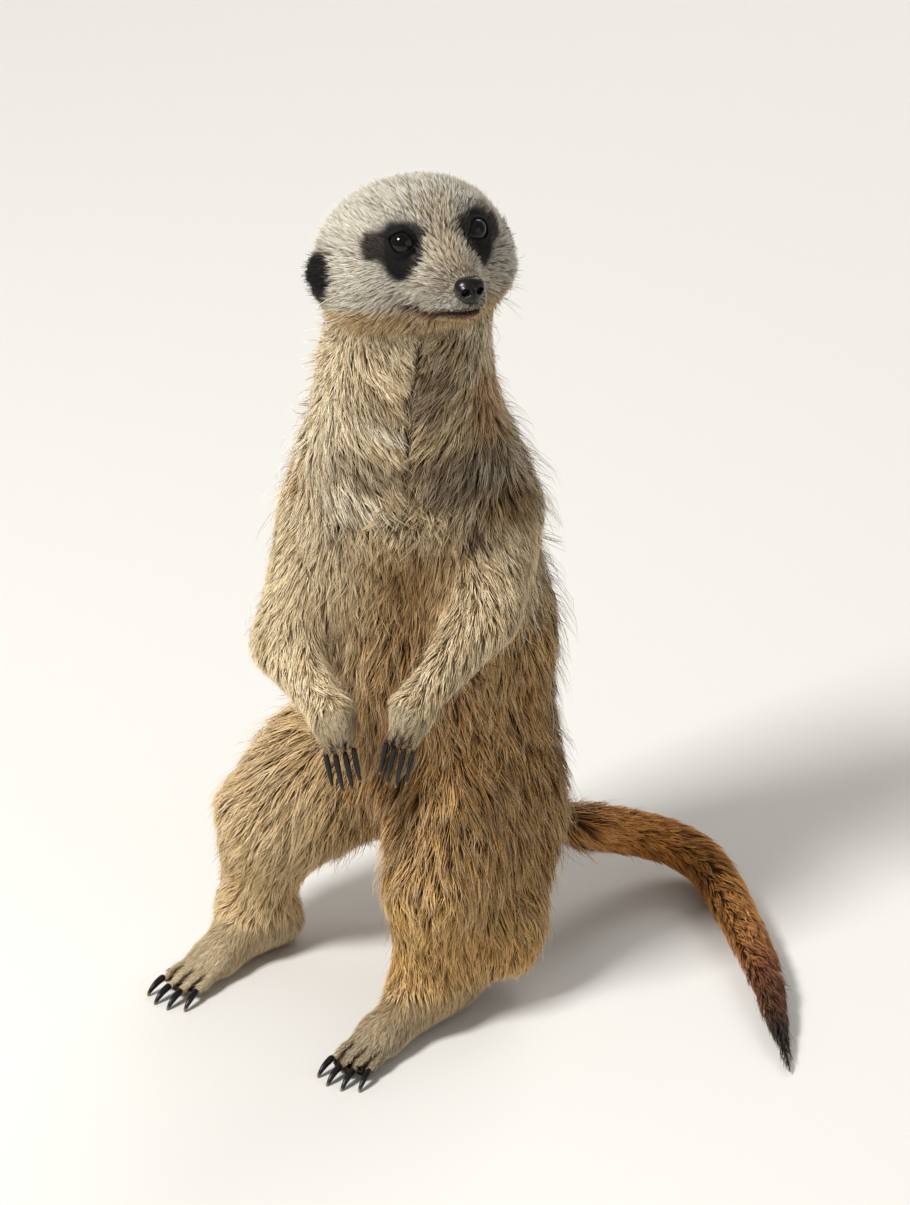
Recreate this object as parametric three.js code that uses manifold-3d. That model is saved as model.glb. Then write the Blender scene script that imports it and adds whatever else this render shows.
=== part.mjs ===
// A life-size meerkat, half squatting on its hind feet with its hands hanging in front of its belly.
// Millimetres, +Z up, -Y the way it faces. The pelvis is turned to its right and the head to its left.
//
// The body is one smooth field, made of round cones and egg shapes that flow into each other. Each
// node is the part of that surface between thin cuts, meshed as finely as it needs. The cuts are flat,
// but at the hips and shoulders they are round. Eyes, nose, ears and claws are sunk into the surface
// with a small clearance.
import * as THREE from "three";
import { mergeVertices } from "three/addons/utils/BufferGeometryUtils.js";
import Module from "manifold-3d";

const wasm = await Module();
wasm.setup();

// ---------------------------------------------------------------- driving sizes
const GAP = 0.3; // clearance between neighbouring nodes
const ROOM = 1.3; // clearance round a limb where it lies against the trunk
const FACET_ERROR = 0.13; // how far the facets may stray when small ones are merged
const FLOOR = 0; // level of the small flats under the feet and the tail

const PELVIS_YAW = -43; // degrees about +Z, minus towards the animal's right
const HEAD_YAW = 21;
const HEAD_PITCH = -16; // minus lifts the muzzle
const HEAD_ROLL = -1; // minus lifts the left side

const HAND_FINGERS = 4;
const FOOT_TOES = 4;
const SIDES = [["left", 1], ["right", -1]];

const COLOURS = {
  coat: 0xb89a6c,
  belly: 0xb98f5a,
  face: 0xd6c9ae,
  limb: 0xd2ad78,
  paw: 0xdcc08e,
  tail: 0xc08a4a,
  tail_tip: 0x4a3326,
  ear: 0x2b221d,
  eye: 0x120d0a,
  nose: 0x241c19,
  claw: 0x3a3632,
};

// Grid spacing for the surface of each part: finer where the form is smaller.
const CELL = {
  snout: 4.8, head: 8.2, neck: 11, trunk: 13.6,
  upper_arm: 9.5, forearm: 7.2, hand: 5.4, thigh: 12, shank: 9.2, foot: 7.2,
};

// ---------------------------------------------------------------- frames and joints
const vec = (x, y, z) => new THREE.Vector3(x, y, z);

// A frame turned about +Z by yaw, then lifted by pitch and rolled. In it x is left, y back, z up.
function frameAt(origin, yaw, pitch = 0, roll = 0) {
  const turn = new THREE.Euler(
    THREE.MathUtils.degToRad(pitch),
    THREE.MathUtils.degToRad(roll),
    THREE.MathUtils.degToRad(yaw),
    "ZXY",
  );
  return new THREE.Matrix4().makeRotationFromEuler(turn).setPosition(origin);
}
const PELVIS = frameAt(vec(0, 22, 0), PELVIS_YAW);
const HEAD = frameAt(vec(-4.4, 1, 276.3), HEAD_YAW, HEAD_PITCH, HEAD_ROLL);
const inPelvis = (x, y, z) => vec(x, y, z).applyMatrix4(PELVIS);
const inHead = (x, y, z) => vec(x, y, z).applyMatrix4(HEAD);

// Limb joints. The right foot is turned in a little more than the left one.
const LEGS = {
  left: {
    hip: inPelvis(19, 2, 78),
    knee: inPelvis(37, -40, 52),
    ankle: inPelvis(38, -44, 18),
    heel: inPelvis(37.5, -28, 7.7),
    ball: inPelvis(40, -69.5, 6),
    toeEnd: inPelvis(43, -87.5, 3.4),
  },
  right: {
    hip: inPelvis(-19, 2, 78),
    knee: inPelvis(-38, -42, 52),
    ankle: inPelvis(-40.5, -47, 18),
    heel: inPelvis(-38, -37, 7.7),
    ball: inPelvis(-38, -71, 6),
    toeEnd: inPelvis(-36.5, -90.5, 3.4),
  },
};
const ARMS = {
  left: {
    shoulder: vec(22.5, 9, 176),
    elbow: vec(19, -22, 153),
    wrist: vec(-5.5, -45.5, 129),
    knuckles: vec(-8.5, -49, 121),
    tips: vec(-10.5, -50.8, 116.5),
    clawTips: vec(-14, -53.5, 100),
  },
  right: {
    shoulder: vec(-35.5, 7, 177),
    elbow: vec(-49.5, -4, 132),
    wrist: vec(-33, -37, 121),
    knuckles: vec(-31.5, -41, 114),
    tips: vec(-30.3, -42.2, 109.5),
    clawTips: vec(-27, -45, 92),
  },
};

// The tail leaves the rump, comes down to the floor and curls forward along it.
const TAIL = new THREE.CatmullRomCurve3([
  vec(20, 38, 50),
  vec(50, 42, 35),
  vec(68, 56, 23.5),
  vec(85, 63.5, 14.5),
  vec(95.5, 58.5, 10.6),
  vec(101.5, 46, 8.8),
  vec(106.5, 28, 7.8),
  vec(112, 4, 7.3),
  vec(116.5, -22, 6.5),
  vec(119, -46, 5),
  vec(121.5, -64, 2.8),
  vec(123, -72, 1.5),
]);
const TAIL_RADII = [12, 9.6, 9.6, 9.8, 8.8, 8.2, 7.4, 5.6, 1.3]; // evenly along its length
const TAIL_CUTS = [0.16, 0.42, 0.68]; // shares of its length

// ---------------------------------------------------------------- the field
// A shape is a function from a point to its distance outside the surface, negative inside.
function coneShape(a, b, ra, rb) {
  const d = b.clone().sub(a);
  const length2 = d.lengthSq();
  return (x, y, z) => {
    const px = x - a.x, py = y - a.y, pz = z - a.z;
    const along = (px * d.x + py * d.y + pz * d.z) / length2;
    const t = Math.min(1, Math.max(0, along));
    return Math.hypot(px - d.x * t, py - d.y * t, pz - d.z * t) - (ra + (rb - ra) * t);
  };
}

function eggShape(frame, centre, radii, tilt = 0) {
  const own = new THREE.Matrix4()
    .makeRotationX(THREE.MathUtils.degToRad(tilt))
    .setPosition(centre)
    .premultiply(frame)
    .invert().elements;
  return (x, y, z) => {
    const px = own[0] * x + own[4] * y + own[8] * z + own[12];
    const py = own[1] * x + own[5] * y + own[9] * z + own[13];
    const pz = own[2] * x + own[6] * y + own[10] * z + own[14];
    const ex = px / radii.x, ey = py / radii.y, ez = pz / radii.z;
    const k0 = Math.hypot(ex, ey, ez);
    const k1 = Math.hypot(ex / radii.x, ey / radii.y, ez / radii.z);
    return k1 < 1e-9 ? -Math.min(radii.x, radii.y, radii.z) : (k0 * (k0 - 1)) / k1;
  };
}

const smoothMin = (a, b, k) => {
  const h = Math.max(k - Math.abs(a - b), 0) / k;
  return Math.min(a, b) - h * h * k * 0.25;
};
const flowing = (k, ...shapes) => (x, y, z) =>
  shapes.reduce((near, shape) => smoothMin(near, shape(x, y, z), k), 1e6);

// ---------------------------------------------------------------- the animal's shapes
const WORLD = new THREE.Matrix4();

function headShape() {
  const egg = (x, y, z, rx, ry, rz, tilt) => eggShape(HEAD, vec(x, y, z), vec(rx, ry, rz), tilt);
  const skull = flowing(8,
    egg(0, 6, 1, 32.5, 30, 23.5),
    egg(0, -8, 6.5, 24.5, 21.5, 20), // forehead
    egg(18.5, 2, -9, 17, 20, 15.5), // cheeks
    egg(-18.5, 2, -9, 17, 20, 15.5),
  );
  const muzzle = flowing(5,
    coneShape(inHead(0, -18, 0), inHead(0, -44, -8), 13.5, 5.8),
    coneShape(inHead(5, -28, -9), inHead(2.8, -43.5, -11), 7.5, 4.4), // lips
    coneShape(inHead(-5, -28, -9), inHead(-2.8, -43.5, -11), 7.5, 4.4),
    coneShape(inHead(0, -8, -15), inHead(0, -39, -15), 11, 4.2), // lower jaw
  );
  const brows = flowing(4, egg(12, -20, 13.5, 8.5, 7, 4.6), egg(-12, -20, 13.5, 8.5, 7, 4.6));
  return flowing(7, skull, muzzle, brows);
}

function neckShape() {
  return flowing(14,
    coneShape(inHead(0, 10, -10), vec(-8.5, 9, 226), 27, 28.5),
    coneShape(vec(-8.5, 9, 226), vec(-8.5, 9, 198), 28.5, 37.5),
  );
}

function trunkShape() {
  return flowing(18,
    eggShape(WORLD, vec(-6, 10, 182), vec(42, 31, 42)), // chest
    eggShape(WORLD, vec(1, 17, 128), vec(45, 37, 50)), // belly
    eggShape(PELVIS, vec(2, 6, 82), vec(41, 37, 40)), // rump
    eggShape(PELVIS, vec(-1, 14, 60), vec(28, 26, 27)), // seat
  );
}

function legShape(side) {
  const { hip, knee, ankle, heel } = LEGS[side];
  const s = side === "left" ? 1 : -1;
  // The skirt of fur behind the shank hangs lower on the left, and the right thigh is lifted and
  // looks fuller.
  const skirt = side === "left"
    ? { low: inPelvis(41, -10.5, 25), radius: 18.5 }
    : { low: inPelvis(-38, -22, 36), radius: 13 };
  const radii = side === "left"
    ? { hip: 28, thigh: 23, knee: 15.5, shin: 11.5 }
    : { hip: 31, thigh: 27, knee: 18.5, shin: 13.5 };
  const middle = hip.clone().lerp(knee, 0.6);
  return flowing(9,
    coneShape(hip, middle, radii.hip, radii.thigh),
    coneShape(middle, knee, radii.thigh, radii.knee),
    coneShape(knee, ankle, radii.knee, radii.shin),
    coneShape(inPelvis(26 * s, 9, 62), skirt.low, 25, skirt.radius),
    coneShape(ankle, heel, 11, 8.2),
  );
}

function digitLine(base, tip, spread, index, count, sideways) {
  const share = index - (count - 1) / 2;
  const from = base.clone().addScaledVector(sideways, share * spread * 0.72);
  const to = tip.clone().addScaledVector(sideways, share * spread);
  const shorter = Math.abs(share) > 1 ? 0.86 : 1; // outer digits are shorter
  to.sub(from).multiplyScalar(shorter).add(from);
  return { from, to };
}

const TOE = { spread: 5.2, radius: 3.3, claw: 9, clawRadius: 1.4 };
const FINGER = { spread: 3.3, radius: 2.25, claw: 16, clawRadius: 1.25 };

function toes(side) {
  const { ball, toeEnd } = LEGS[side];
  const sideways = toeEnd.clone().sub(ball).cross(vec(0, 0, 1)).normalize();
  return Array.from({ length: FOOT_TOES }, (_, i) =>
    digitLine(ball, toeEnd, TOE.spread, i, FOOT_TOES, sideways));
}

function footShape(side) {
  const { heel, ankle, ball } = LEGS[side];
  const across = vec(1, 0, 0).transformDirection(PELVIS);
  return flowing(6,
    coneShape(heel, ball, 8.4, 7.2),
    coneShape(ankle, ball, 9.5, 6.5),
    coneShape(ball.clone().addScaledVector(across, 5), ball.clone().addScaledVector(across, -5), 5.6, 5.6),
  );
}

// The hand's fingers hang side by side, across the line from knuckles to claw tips.
function fingers(side) {
  const { wrist, knuckles, tips } = ARMS[side];
  const sideways = tips.clone().sub(wrist).normalize().cross(vec(0, -1, 0.25)).normalize();
  return Array.from({ length: HAND_FINGERS }, (_, i) =>
    digitLine(knuckles, tips, FINGER.spread, i, HAND_FINGERS, sideways));
}

function armShape(side) {
  const { shoulder, elbow, wrist } = ARMS[side];
  return flowing(6,
    coneShape(shoulder, elbow, 17, 12.5),
    coneShape(elbow, wrist, 12.5, 8),
  );
}

function handShape(side) {
  const { wrist, knuckles } = ARMS[side];
  return coneShape(wrist, knuckles, 8, 6);
}

function tailRadius(t) {
  const place = t * (TAIL_RADII.length - 1);
  const i = Math.min(Math.floor(place), TAIL_RADII.length - 2);
  return THREE.MathUtils.lerp(TAIL_RADII[i], TAIL_RADII[i + 1], place - i);
}

// The hind end swells towards the root of the tail.
function tailShape() {
  return coneShape(TAIL.getPointAt(0), TAIL.getPointAt(TAIL_CUTS[0] * 0.6), 17, 7);
}

const headField = headShape();
const neckField = neckShape();
const trunkField = trunkShape();
const tailField = tailShape();
const arms = { left: armShape("left"), right: armShape("right") };
const hands = { left: handShape("left"), right: handShape("right") };
const legs = { left: legShape("left"), right: legShape("right") };
const feet = { left: footShape("left"), right: footShape("right") };

const bodyField = flowing(10,
  flowing(12, flowing(10, headField, neckField), trunkField),
  legs.left, legs.right, tailField);
const coreField = flowing(8, bodyField, arms.left, arms.right);
// The trunk is meshed with the shoulders alone, so that no elbow is left on it.
const shoulderStub = ({ shoulder, elbow }) =>
  coneShape(shoulder, shoulder.clone().lerp(elbow, 0.45), 17, 15);
const stumpField = flowing(8, bodyField, shoulderStub(ARMS.left), shoulderStub(ARMS.right));
const armField = (side) => flowing(5, arms[side], hands[side]);
const legField = (side) => flowing(6, legs[side], feet[side]);

// ---------------------------------------------------------------- meshing a field
// Surface nets: one vertex in each grid cell that the surface crosses, drawn onto the surface.
function meshField(field, box, cell) {
  const size = box.getSize(vec(0, 0, 0));
  const n = ["x", "y", "z"].map((axis) => Math.ceil(size[axis] / cell) + 3);
  const at = (i, j, k) => [box.min.x + (i - 1) * cell, box.min.y + (j - 1) * cell,
    box.min.z + (k - 1) * cell];
  const id = (i, j, k) => i + n[0] * (j + n[1] * k);
  const value = new Float32Array(n[0] * n[1] * n[2]).fill(1);
  for (let k = 1; k < n[2] - 1; k++)
    for (let j = 1; j < n[1] - 1; j++)
      for (let i = 1; i < n[0] - 1; i++) value[id(i, j, k)] = field(...at(i, j, k));

  const points = [];
  const vertex = new Map();
  for (let k = 0; k < n[2] - 1; k++)
    for (let j = 0; j < n[1] - 1; j++)
      for (let i = 0; i < n[0] - 1; i++) {
        const point = cellPoint(i, j, k);
        if (point) {
          vertex.set(id(i, j, k), points.length / 3);
          points.push(...ontoSurface(field, point, cell));
        }
      }

  function cellPoint(i, j, k) {
    const corners = [];
    for (let c = 0; c < 8; c++) corners.push([i + (c & 1), j + ((c >> 1) & 1), k + (c >> 2)]);
    const sum = [0, 0, 0];
    let crossings = 0;
    for (let a = 0; a < 8; a++)
      for (const bit of [1, 2, 4]) {
        const b = a | bit;
        if (b === a) continue;
        const va = value[id(...corners[a])], vb = value[id(...corners[b])];
        if (va < 0 === vb < 0) continue;
        const t = va / (va - vb);
        const pa = at(...corners[a]), pb = at(...corners[b]);
        for (let q = 0; q < 3; q++) sum[q] += pa[q] + (pb[q] - pa[q]) * t;
        crossings++;
      }
    return crossings ? sum.map((s) => s / crossings) : null;
  }

  const triangles = [];
  const steps = [[1, 0, 0], [0, 1, 0], [0, 0, 1]];
  for (let k = 0; k < n[2] - 1; k++)
    for (let j = 0; j < n[1] - 1; j++)
      for (let i = 0; i < n[0] - 1; i++)
        steps.forEach((step, axis) => {
          const inside = value[id(i, j, k)] < 0;
          if (inside === value[id(i + step[0], j + step[1], k + step[2])] < 0) return;
          const u = steps[(axis + 1) % 3], v = steps[(axis + 2) % 3];
          const around = [[0, 0], [1, 0], [1, 1], [0, 1]].map(([a, b]) =>
            vertex.get(id(i - a * u[0] - b * v[0], j - a * u[1] - b * v[1],
              k - a * u[2] - b * v[2])));
          const [p, q, r, s] = inside ? around : around.reverse();
          triangles.push(...quad(p, q, r, s));
        });

  // Splits a quad along its shorter diagonal.
  function quad(p, q, r, s) {
    const far = (a, b) => Math.hypot(points[3 * a] - points[3 * b],
      points[3 * a + 1] - points[3 * b + 1], points[3 * a + 2] - points[3 * b + 2]);
    return far(p, r) < far(q, s) ? [p, q, r, p, r, s] : [p, q, s, q, r, s];
  }
  return new wasm.Manifold(new wasm.Mesh({
    numProp: 3,
    vertProperties: new Float32Array(points),
    triVerts: new Uint32Array(triangles),
  }));
}

// Moves a point along the field's slope until it lies on the surface, but never far from its cell.
function ontoSurface(field, start, cell) {
  const e = 0.05;
  let [x, y, z] = start;
  for (let turn = 0; turn < 3; turn++) {
    const d = field(x, y, z);
    const slope = [field(x + e, y, z) - d, field(x, y + e, z) - d, field(x, y, z + e) - d];
    const steep = Math.hypot(...slope) || 1;
    const move = Math.max(-cell / 3, Math.min(cell / 3, (-d * e) / steep));
    x += (move * slope[0]) / steep;
    y += (move * slope[1]) / steep;
    z += (move * slope[2]) / steep;
  }
  const near = (a, b) => Math.max(b - cell * 0.45, Math.min(b + cell * 0.45, a));
  return [near(x, start[0]), near(y, start[1]), near(z, start[2])];
}

// ---------------------------------------------------------------- cuts
// A cut is a plane whose normal points away from the heart of the body.
const cutAt = (point, from, to) => ({ point, normal: to.clone().sub(from).normalize() });
const inner = (solid, { point, normal }) =>
  solid.trimByPlane(normal.clone().negate().toArray(), -normal.dot(point) + GAP / 2);
const outer = (solid, { point, normal }) =>
  solid.trimByPlane(normal.toArray(), normal.dot(point) + GAP / 2);

const movedBack = ({ point, normal }, by) =>
  ({ point: point.clone().addScaledVector(normal, -by), normal });

function solidOf(geometry, matrix) {
  const bare = geometry.index ? geometry.toNonIndexed() : geometry.clone();
  bare.deleteAttribute("normal");
  bare.deleteAttribute("uv");
  const merged = mergeVertices(bare.applyMatrix4(matrix), 1e-4);
  return new wasm.Manifold(new wasm.Mesh({
    numProp: 3,
    vertProperties: merged.attributes.position.array,
    triVerts: new Uint32Array(merged.index.array),
  }));
}

function ball(frame, centre, radii, segments = 12, tilt = [0, 0, 0]) {
  const angles = tilt.map(THREE.MathUtils.degToRad);
  const matrix = new THREE.Matrix4()
    .makeRotationFromEuler(new THREE.Euler(...angles))
    .setPosition(centre)
    .premultiply(frame)
    .multiply(new THREE.Matrix4().makeScale(radii.x, radii.y, radii.z));
  return solidOf(new THREE.SphereGeometry(1, segments, Math.round(segments * 0.6)), matrix);
}
const grown = (radii, by) => radii.clone().addScalar(by);

function block(frame, low, high) {
  const size = high.clone().sub(low);
  const middle = high.clone().add(low).multiplyScalar(0.5);
  const matrix = frame.clone().multiply(new THREE.Matrix4().setPosition(middle));
  return solidOf(new THREE.BoxGeometry(size.x, size.y, size.z), matrix);
}

// A round tapering body along a curve, closed at both ends. radiusAt gives its radius from 0 to 1,
// and across is a line that it keeps one pair of sides facing.
function horn(line, across, radiusAt, { rings = 4, sides = 5, slim = 1 } = {}) {
  const points = [], triangles = [];
  for (let i = 0; i < rings; i++) {
    const t = i / (rings - 1);
    const centre = line(t);
    const along = line(Math.min(1, t + 1e-3)).sub(line(Math.max(0, t - 1e-3))).normalize();
    const up = along.clone().cross(across).normalize();
    const side = up.clone().cross(along);
    const r = radiusAt(t);
    for (let j = 0; j < sides; j++) {
      const a = (2 * Math.PI * j) / sides;
      const p = centre.clone().addScaledVector(side, Math.cos(a) * r * slim)
        .addScaledVector(up, Math.sin(a) * r);
      points.push(p.x, p.y, p.z);
      if (i < rings - 1) {
        const a0 = i * sides + j, a1 = i * sides + ((j + 1) % sides);
        triangles.push(a0, a1, a1 + sides, a0, a1 + sides, a0 + sides);
      }
    }
  }
  const last = (rings - 1) * sides;
  for (let j = 1; j < sides - 1; j++)
    triangles.push(0, j + 1, j, last, last + j, last + j + 1);
  return new wasm.Manifold(new wasm.Mesh({
    numProp: 3, vertProperties: new Float32Array(points), triVerts: new Uint32Array(triangles),
  }));
}

// A claw bends towards droop. With extra it is the room that the claw needs in its finger or toe.
function claw(from, along, droop, length, radius, extra = 0) {
  const line = new THREE.QuadraticBezierCurve3(
    from.clone(),
    from.clone().addScaledVector(along, length * 0.55),
    from.clone().addScaledVector(along, length * 0.88).addScaledVector(droop, length * 0.34),
  );
  const across = along.clone().cross(droop).normalize();
  const profile = (t) => radius * (1 - 0.8 * t * t) + extra;
  return horn((t) => line.getPoint(t), across, profile, { slim: 0.8 });
}

// A toe or finger: arched over its knuckle, with a blunt tip.
function digit({ from, to }, radius, arch) {
  const start = from.clone().lerp(to, -0.25);
  const end = to.clone().lerp(from, -0.12);
  const top = from.clone().lerp(to, 0.5).addScaledVector(arch, radius * 0.35);
  const line = new THREE.QuadraticBezierCurve3(start, top, end);
  const across = to.clone().sub(from).cross(arch).normalize();
  const profile = (t) => radius * (t < 0.9 ? 0.92 + 0.16 * Math.sin(Math.PI * t) : 0.55);
  return horn((t) => line.getPoint(t), across, profile, { rings: 5, sides: 6 });
}

// ---------------------------------------------------------------- nodes
const root = new THREE.Group();

function addNode(name, solid, colour, roughness = 0.85) {
  const mesh = solid.trimByPlane([0, 0, 1], FLOOR).asOriginal().simplify(FACET_ERROR).getMesh();
  const geometry = new THREE.BufferGeometry()
    .setAttribute("position", new THREE.BufferAttribute(mesh.vertProperties, 3))
    .setIndex(new THREE.BufferAttribute(mesh.triVerts, 1));
  geometry.computeVertexNormals();
  const material = new THREE.MeshStandardMaterial({ color: colour, roughness, metalness: 0 });
  const node = new THREE.Mesh(geometry, material);
  node.name = name;
  root.add(node);
}

const biggest = (solid) => solid.decompose().sort((a, b) => b.volume() - a.volume())[0];

function boxAround(reach, ...points) {
  return new THREE.Box3().setFromPoints(points).expandByScalar(reach);
}

const neckTop = cutAt(inHead(0, 6, -21), inHead(0, 12, -40), inHead(0, 2, 0));
const neckRoot = cutAt(vec(-6, 9, 214), vec(-5, 9, 190), vec(-7, 9, 226));
const waist = cutAt(vec(0, 14, 146), vec(0, 16, 100), vec(-4, 12, 190));
const tailRoot = {
  point: TAIL.getPointAt(TAIL_CUTS[0]),
  normal: TAIL.getTangentAt(TAIL_CUTS[0]),
};

// The eyes look ahead, outwards and a little up. Each lies in a shallow round socket.
const EYE = { radius: 5.6, socket: 7, socketDepth: 2.1 };
const eyePlace = (s) => vec(11.8 * s, -21.4, 7);
const eyeGaze = (s) => vec(0.42 * s, -0.88, 0.22).normalize();
const eyeBall = (s, extra) => ball(HEAD, eyePlace(s), grown(vec(EYE.radius, EYE.radius, EYE.radius), extra));

function eyeSocket(s) {
  const far = EYE.radius + EYE.socket - EYE.socketDepth;
  const at = eyePlace(s).addScaledVector(eyeGaze(s), far);
  return ball(HEAD, at, vec(EYE.socket, EYE.socket, EYE.socket));
}

function headNodes() {
  const noseRadii = vec(4.8, 3.8, 4.4);
  const earRadii = vec(4.8, 10, 10.6);
  const noseAt = vec(0, -48, -7);
  const corners = (x, y0, y1) => [-x, x].flatMap((i) =>
    [y0, y1].flatMap((y) => [-30, 28].map((z) => inHead(i, y, z))));
  const snoutCut = cutAt(inHead(0, -31, 0), inHead(0, 0, 0), inHead(0, -31, 0));
  const mouth = [vec(-30, -70, -46), vec(30, -20, -13.6)];

  const front = outer(meshField(coreField, boxAround(6, ...corners(16, -24, -50)), CELL.snout), snoutCut);
  const back = inner(meshField(coreField, boxAround(8, ...corners(34, -32, 36)), CELL.head), snoutCut);
  const jawBlock = block(HEAD, mouth[0], mouth[1]);
  const jawRoom = block(HEAD, mouth[0], mouth[1].clone().addScalar(GAP));
  const noseRoom = ball(HEAD, noseAt, grown(noseRadii, GAP), 10);
  addNode("jaw", biggest(front.intersect(jawBlock)), COLOURS.face);
  addNode("snout", biggest(front.subtract(jawRoom).subtract(noseRoom)), COLOURS.face);
  addNode("nose", ball(HEAD, noseAt, noseRadii, 10), COLOURS.nose, 0.35);

  let head = outer(back, neckTop);
  for (const [side, s] of SIDES) {
    addNode(`eye_${side}`, eyeBall(s, 0), COLOURS.eye, 0.1);
    head = head.subtract(eyeBall(s, GAP)).subtract(eyeSocket(s));
    const earAt = vec(31.2 * s, 3.4, -4);
    const tilt = [-14, 8 * s, -34 * s];
    const hollowAt = earAt.clone().add(vec(4.4 * s, -3.4, 0.3));
    const hollow = ball(HEAD, hollowAt, vec(4, 7.2, 8.2), 10, tilt);
    addNode(`ear_${side}`, ball(HEAD, earAt, earRadii, 12, tilt).subtract(hollow), COLOURS.ear);
    head = head.subtract(ball(HEAD, earAt, grown(earRadii, GAP), 12, tilt));
  }
  addNode("head", biggest(head), COLOURS.face);
}

function shoulderBall(side, extra) {
  const { shoulder, elbow } = ARMS[side];
  const out = side === "left" ? 4 : -4;
  const middle = shoulder.clone().lerp(elbow, 0.42).add(vec(out, -4, 0));
  const along = elbow.clone().sub(shoulder);
  const turn = new THREE.Quaternion().setFromUnitVectors(vec(0, 0, -1), along.clone().normalize());
  const radii = vec(20 + extra, 20 + extra, along.length() * 0.82 + extra);
  const matrix = new THREE.Matrix4().compose(middle, turn, radii);
  return solidOf(new THREE.SphereGeometry(1, 12, 8), matrix);
}

// Where the thigh ends in the trunk: a round body turned about a line from beside the hip to the knee.
function hipBall(side, extra) {
  const { hip, knee } = LEGS[side];
  const s = side === "left" ? 1 : -1;
  const start = hip.clone().addScaledVector(vec(1.6 * s, 0, -1).transformDirection(PELVIS), 13);
  const end = knee.clone().addScaledVector(vec(s, 0, 0).transformDirection(PELVIS), 2);
  const length = end.distanceTo(start);
  const outline = [[0, -25], [20, -20], [30, -4], [33, 0.3 * length], [34, 0.62 * length],
    [30, length], [20, length + 15], [0, length + 20]];
  const profile = outline.map(([r, z]) =>
    new THREE.Vector2(r ? r + extra : 0, z + (z > length / 2 ? extra : -extra)));
  const turn = new THREE.Quaternion().setFromUnitVectors(vec(0, 1, 0), end.sub(start).normalize());
  const matrix = new THREE.Matrix4().compose(start, turn, vec(1, 1, 1));
  return solidOf(new THREE.LatheGeometry(profile, 14), matrix);
}

function trunkNodes() {
  let whole = meshField(stumpField, boxAround(8, vec(-62, -40, 20), vec(62, 84, 222)), CELL.trunk);
  whole = inner(whole.add(tailLength(0, 0.2)), tailRoot);
  for (const [side] of SIDES)
    whole = whole.subtract(hipBall(side, GAP)).subtract(shoulderBall(side, GAP))
      .subtract(forearm(side, ROOM)).subtract(shank(side, ROOM));
  whole = inner(whole, neckRoot);
  addNode("chest", biggest(outer(whole, waist)), COLOURS.coat);
  addNode("abdomen", biggest(inner(whole, waist)), COLOURS.belly);
  const neck = meshField(stumpField, boxAround(10, vec(-42, -30, 200), vec(30, 50, 290)), CELL.neck);
  addNode("neck", biggest(inner(outer(neck, neckRoot), neckTop)), COLOURS.face);
}

const elbowCut = (side) => {
  const { shoulder, elbow, wrist } = ARMS[side];
  const a = elbow.clone().sub(shoulder).normalize(), b = wrist.clone().sub(elbow).normalize();
  return { point: elbow, normal: a.add(b).normalize() };
};
const wristCut = (side) => cutAt(ARMS[side].wrist, ARMS[side].elbow, ARMS[side].wrist);
const kneeCut = (side) => {
  const { hip, knee, ankle } = LEGS[side];
  const a = knee.clone().sub(hip).normalize(), b = ankle.clone().sub(knee).normalize();
  return { point: knee, normal: a.add(b).normalize() };
};
const ankleCut = (side) => cutAt(LEGS[side].ankle, LEGS[side].knee, LEGS[side].ankle);

// The forearm, or with extra the room that it needs where it lies against the trunk.
function forearm(side, extra = 0) {
  const { elbow, wrist } = ARMS[side];
  const field = armField(side);
  const solid = meshField((x, y, z) => field(x, y, z) - extra, boxAround(18, elbow, wrist), CELL.forearm);
  return outer(solid, movedBack(elbowCut(side), extra));
}

function shank(side, extra = 0) {
  const { knee, ankle, heel } = LEGS[side];
  const field = legField(side);
  const reach = boxAround(28, knee, ankle, heel);
  const solid = meshField((x, y, z) => field(x, y, z) - extra, reach, CELL.shank);
  return outer(solid, movedBack(kneeCut(side), extra));
}

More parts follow.
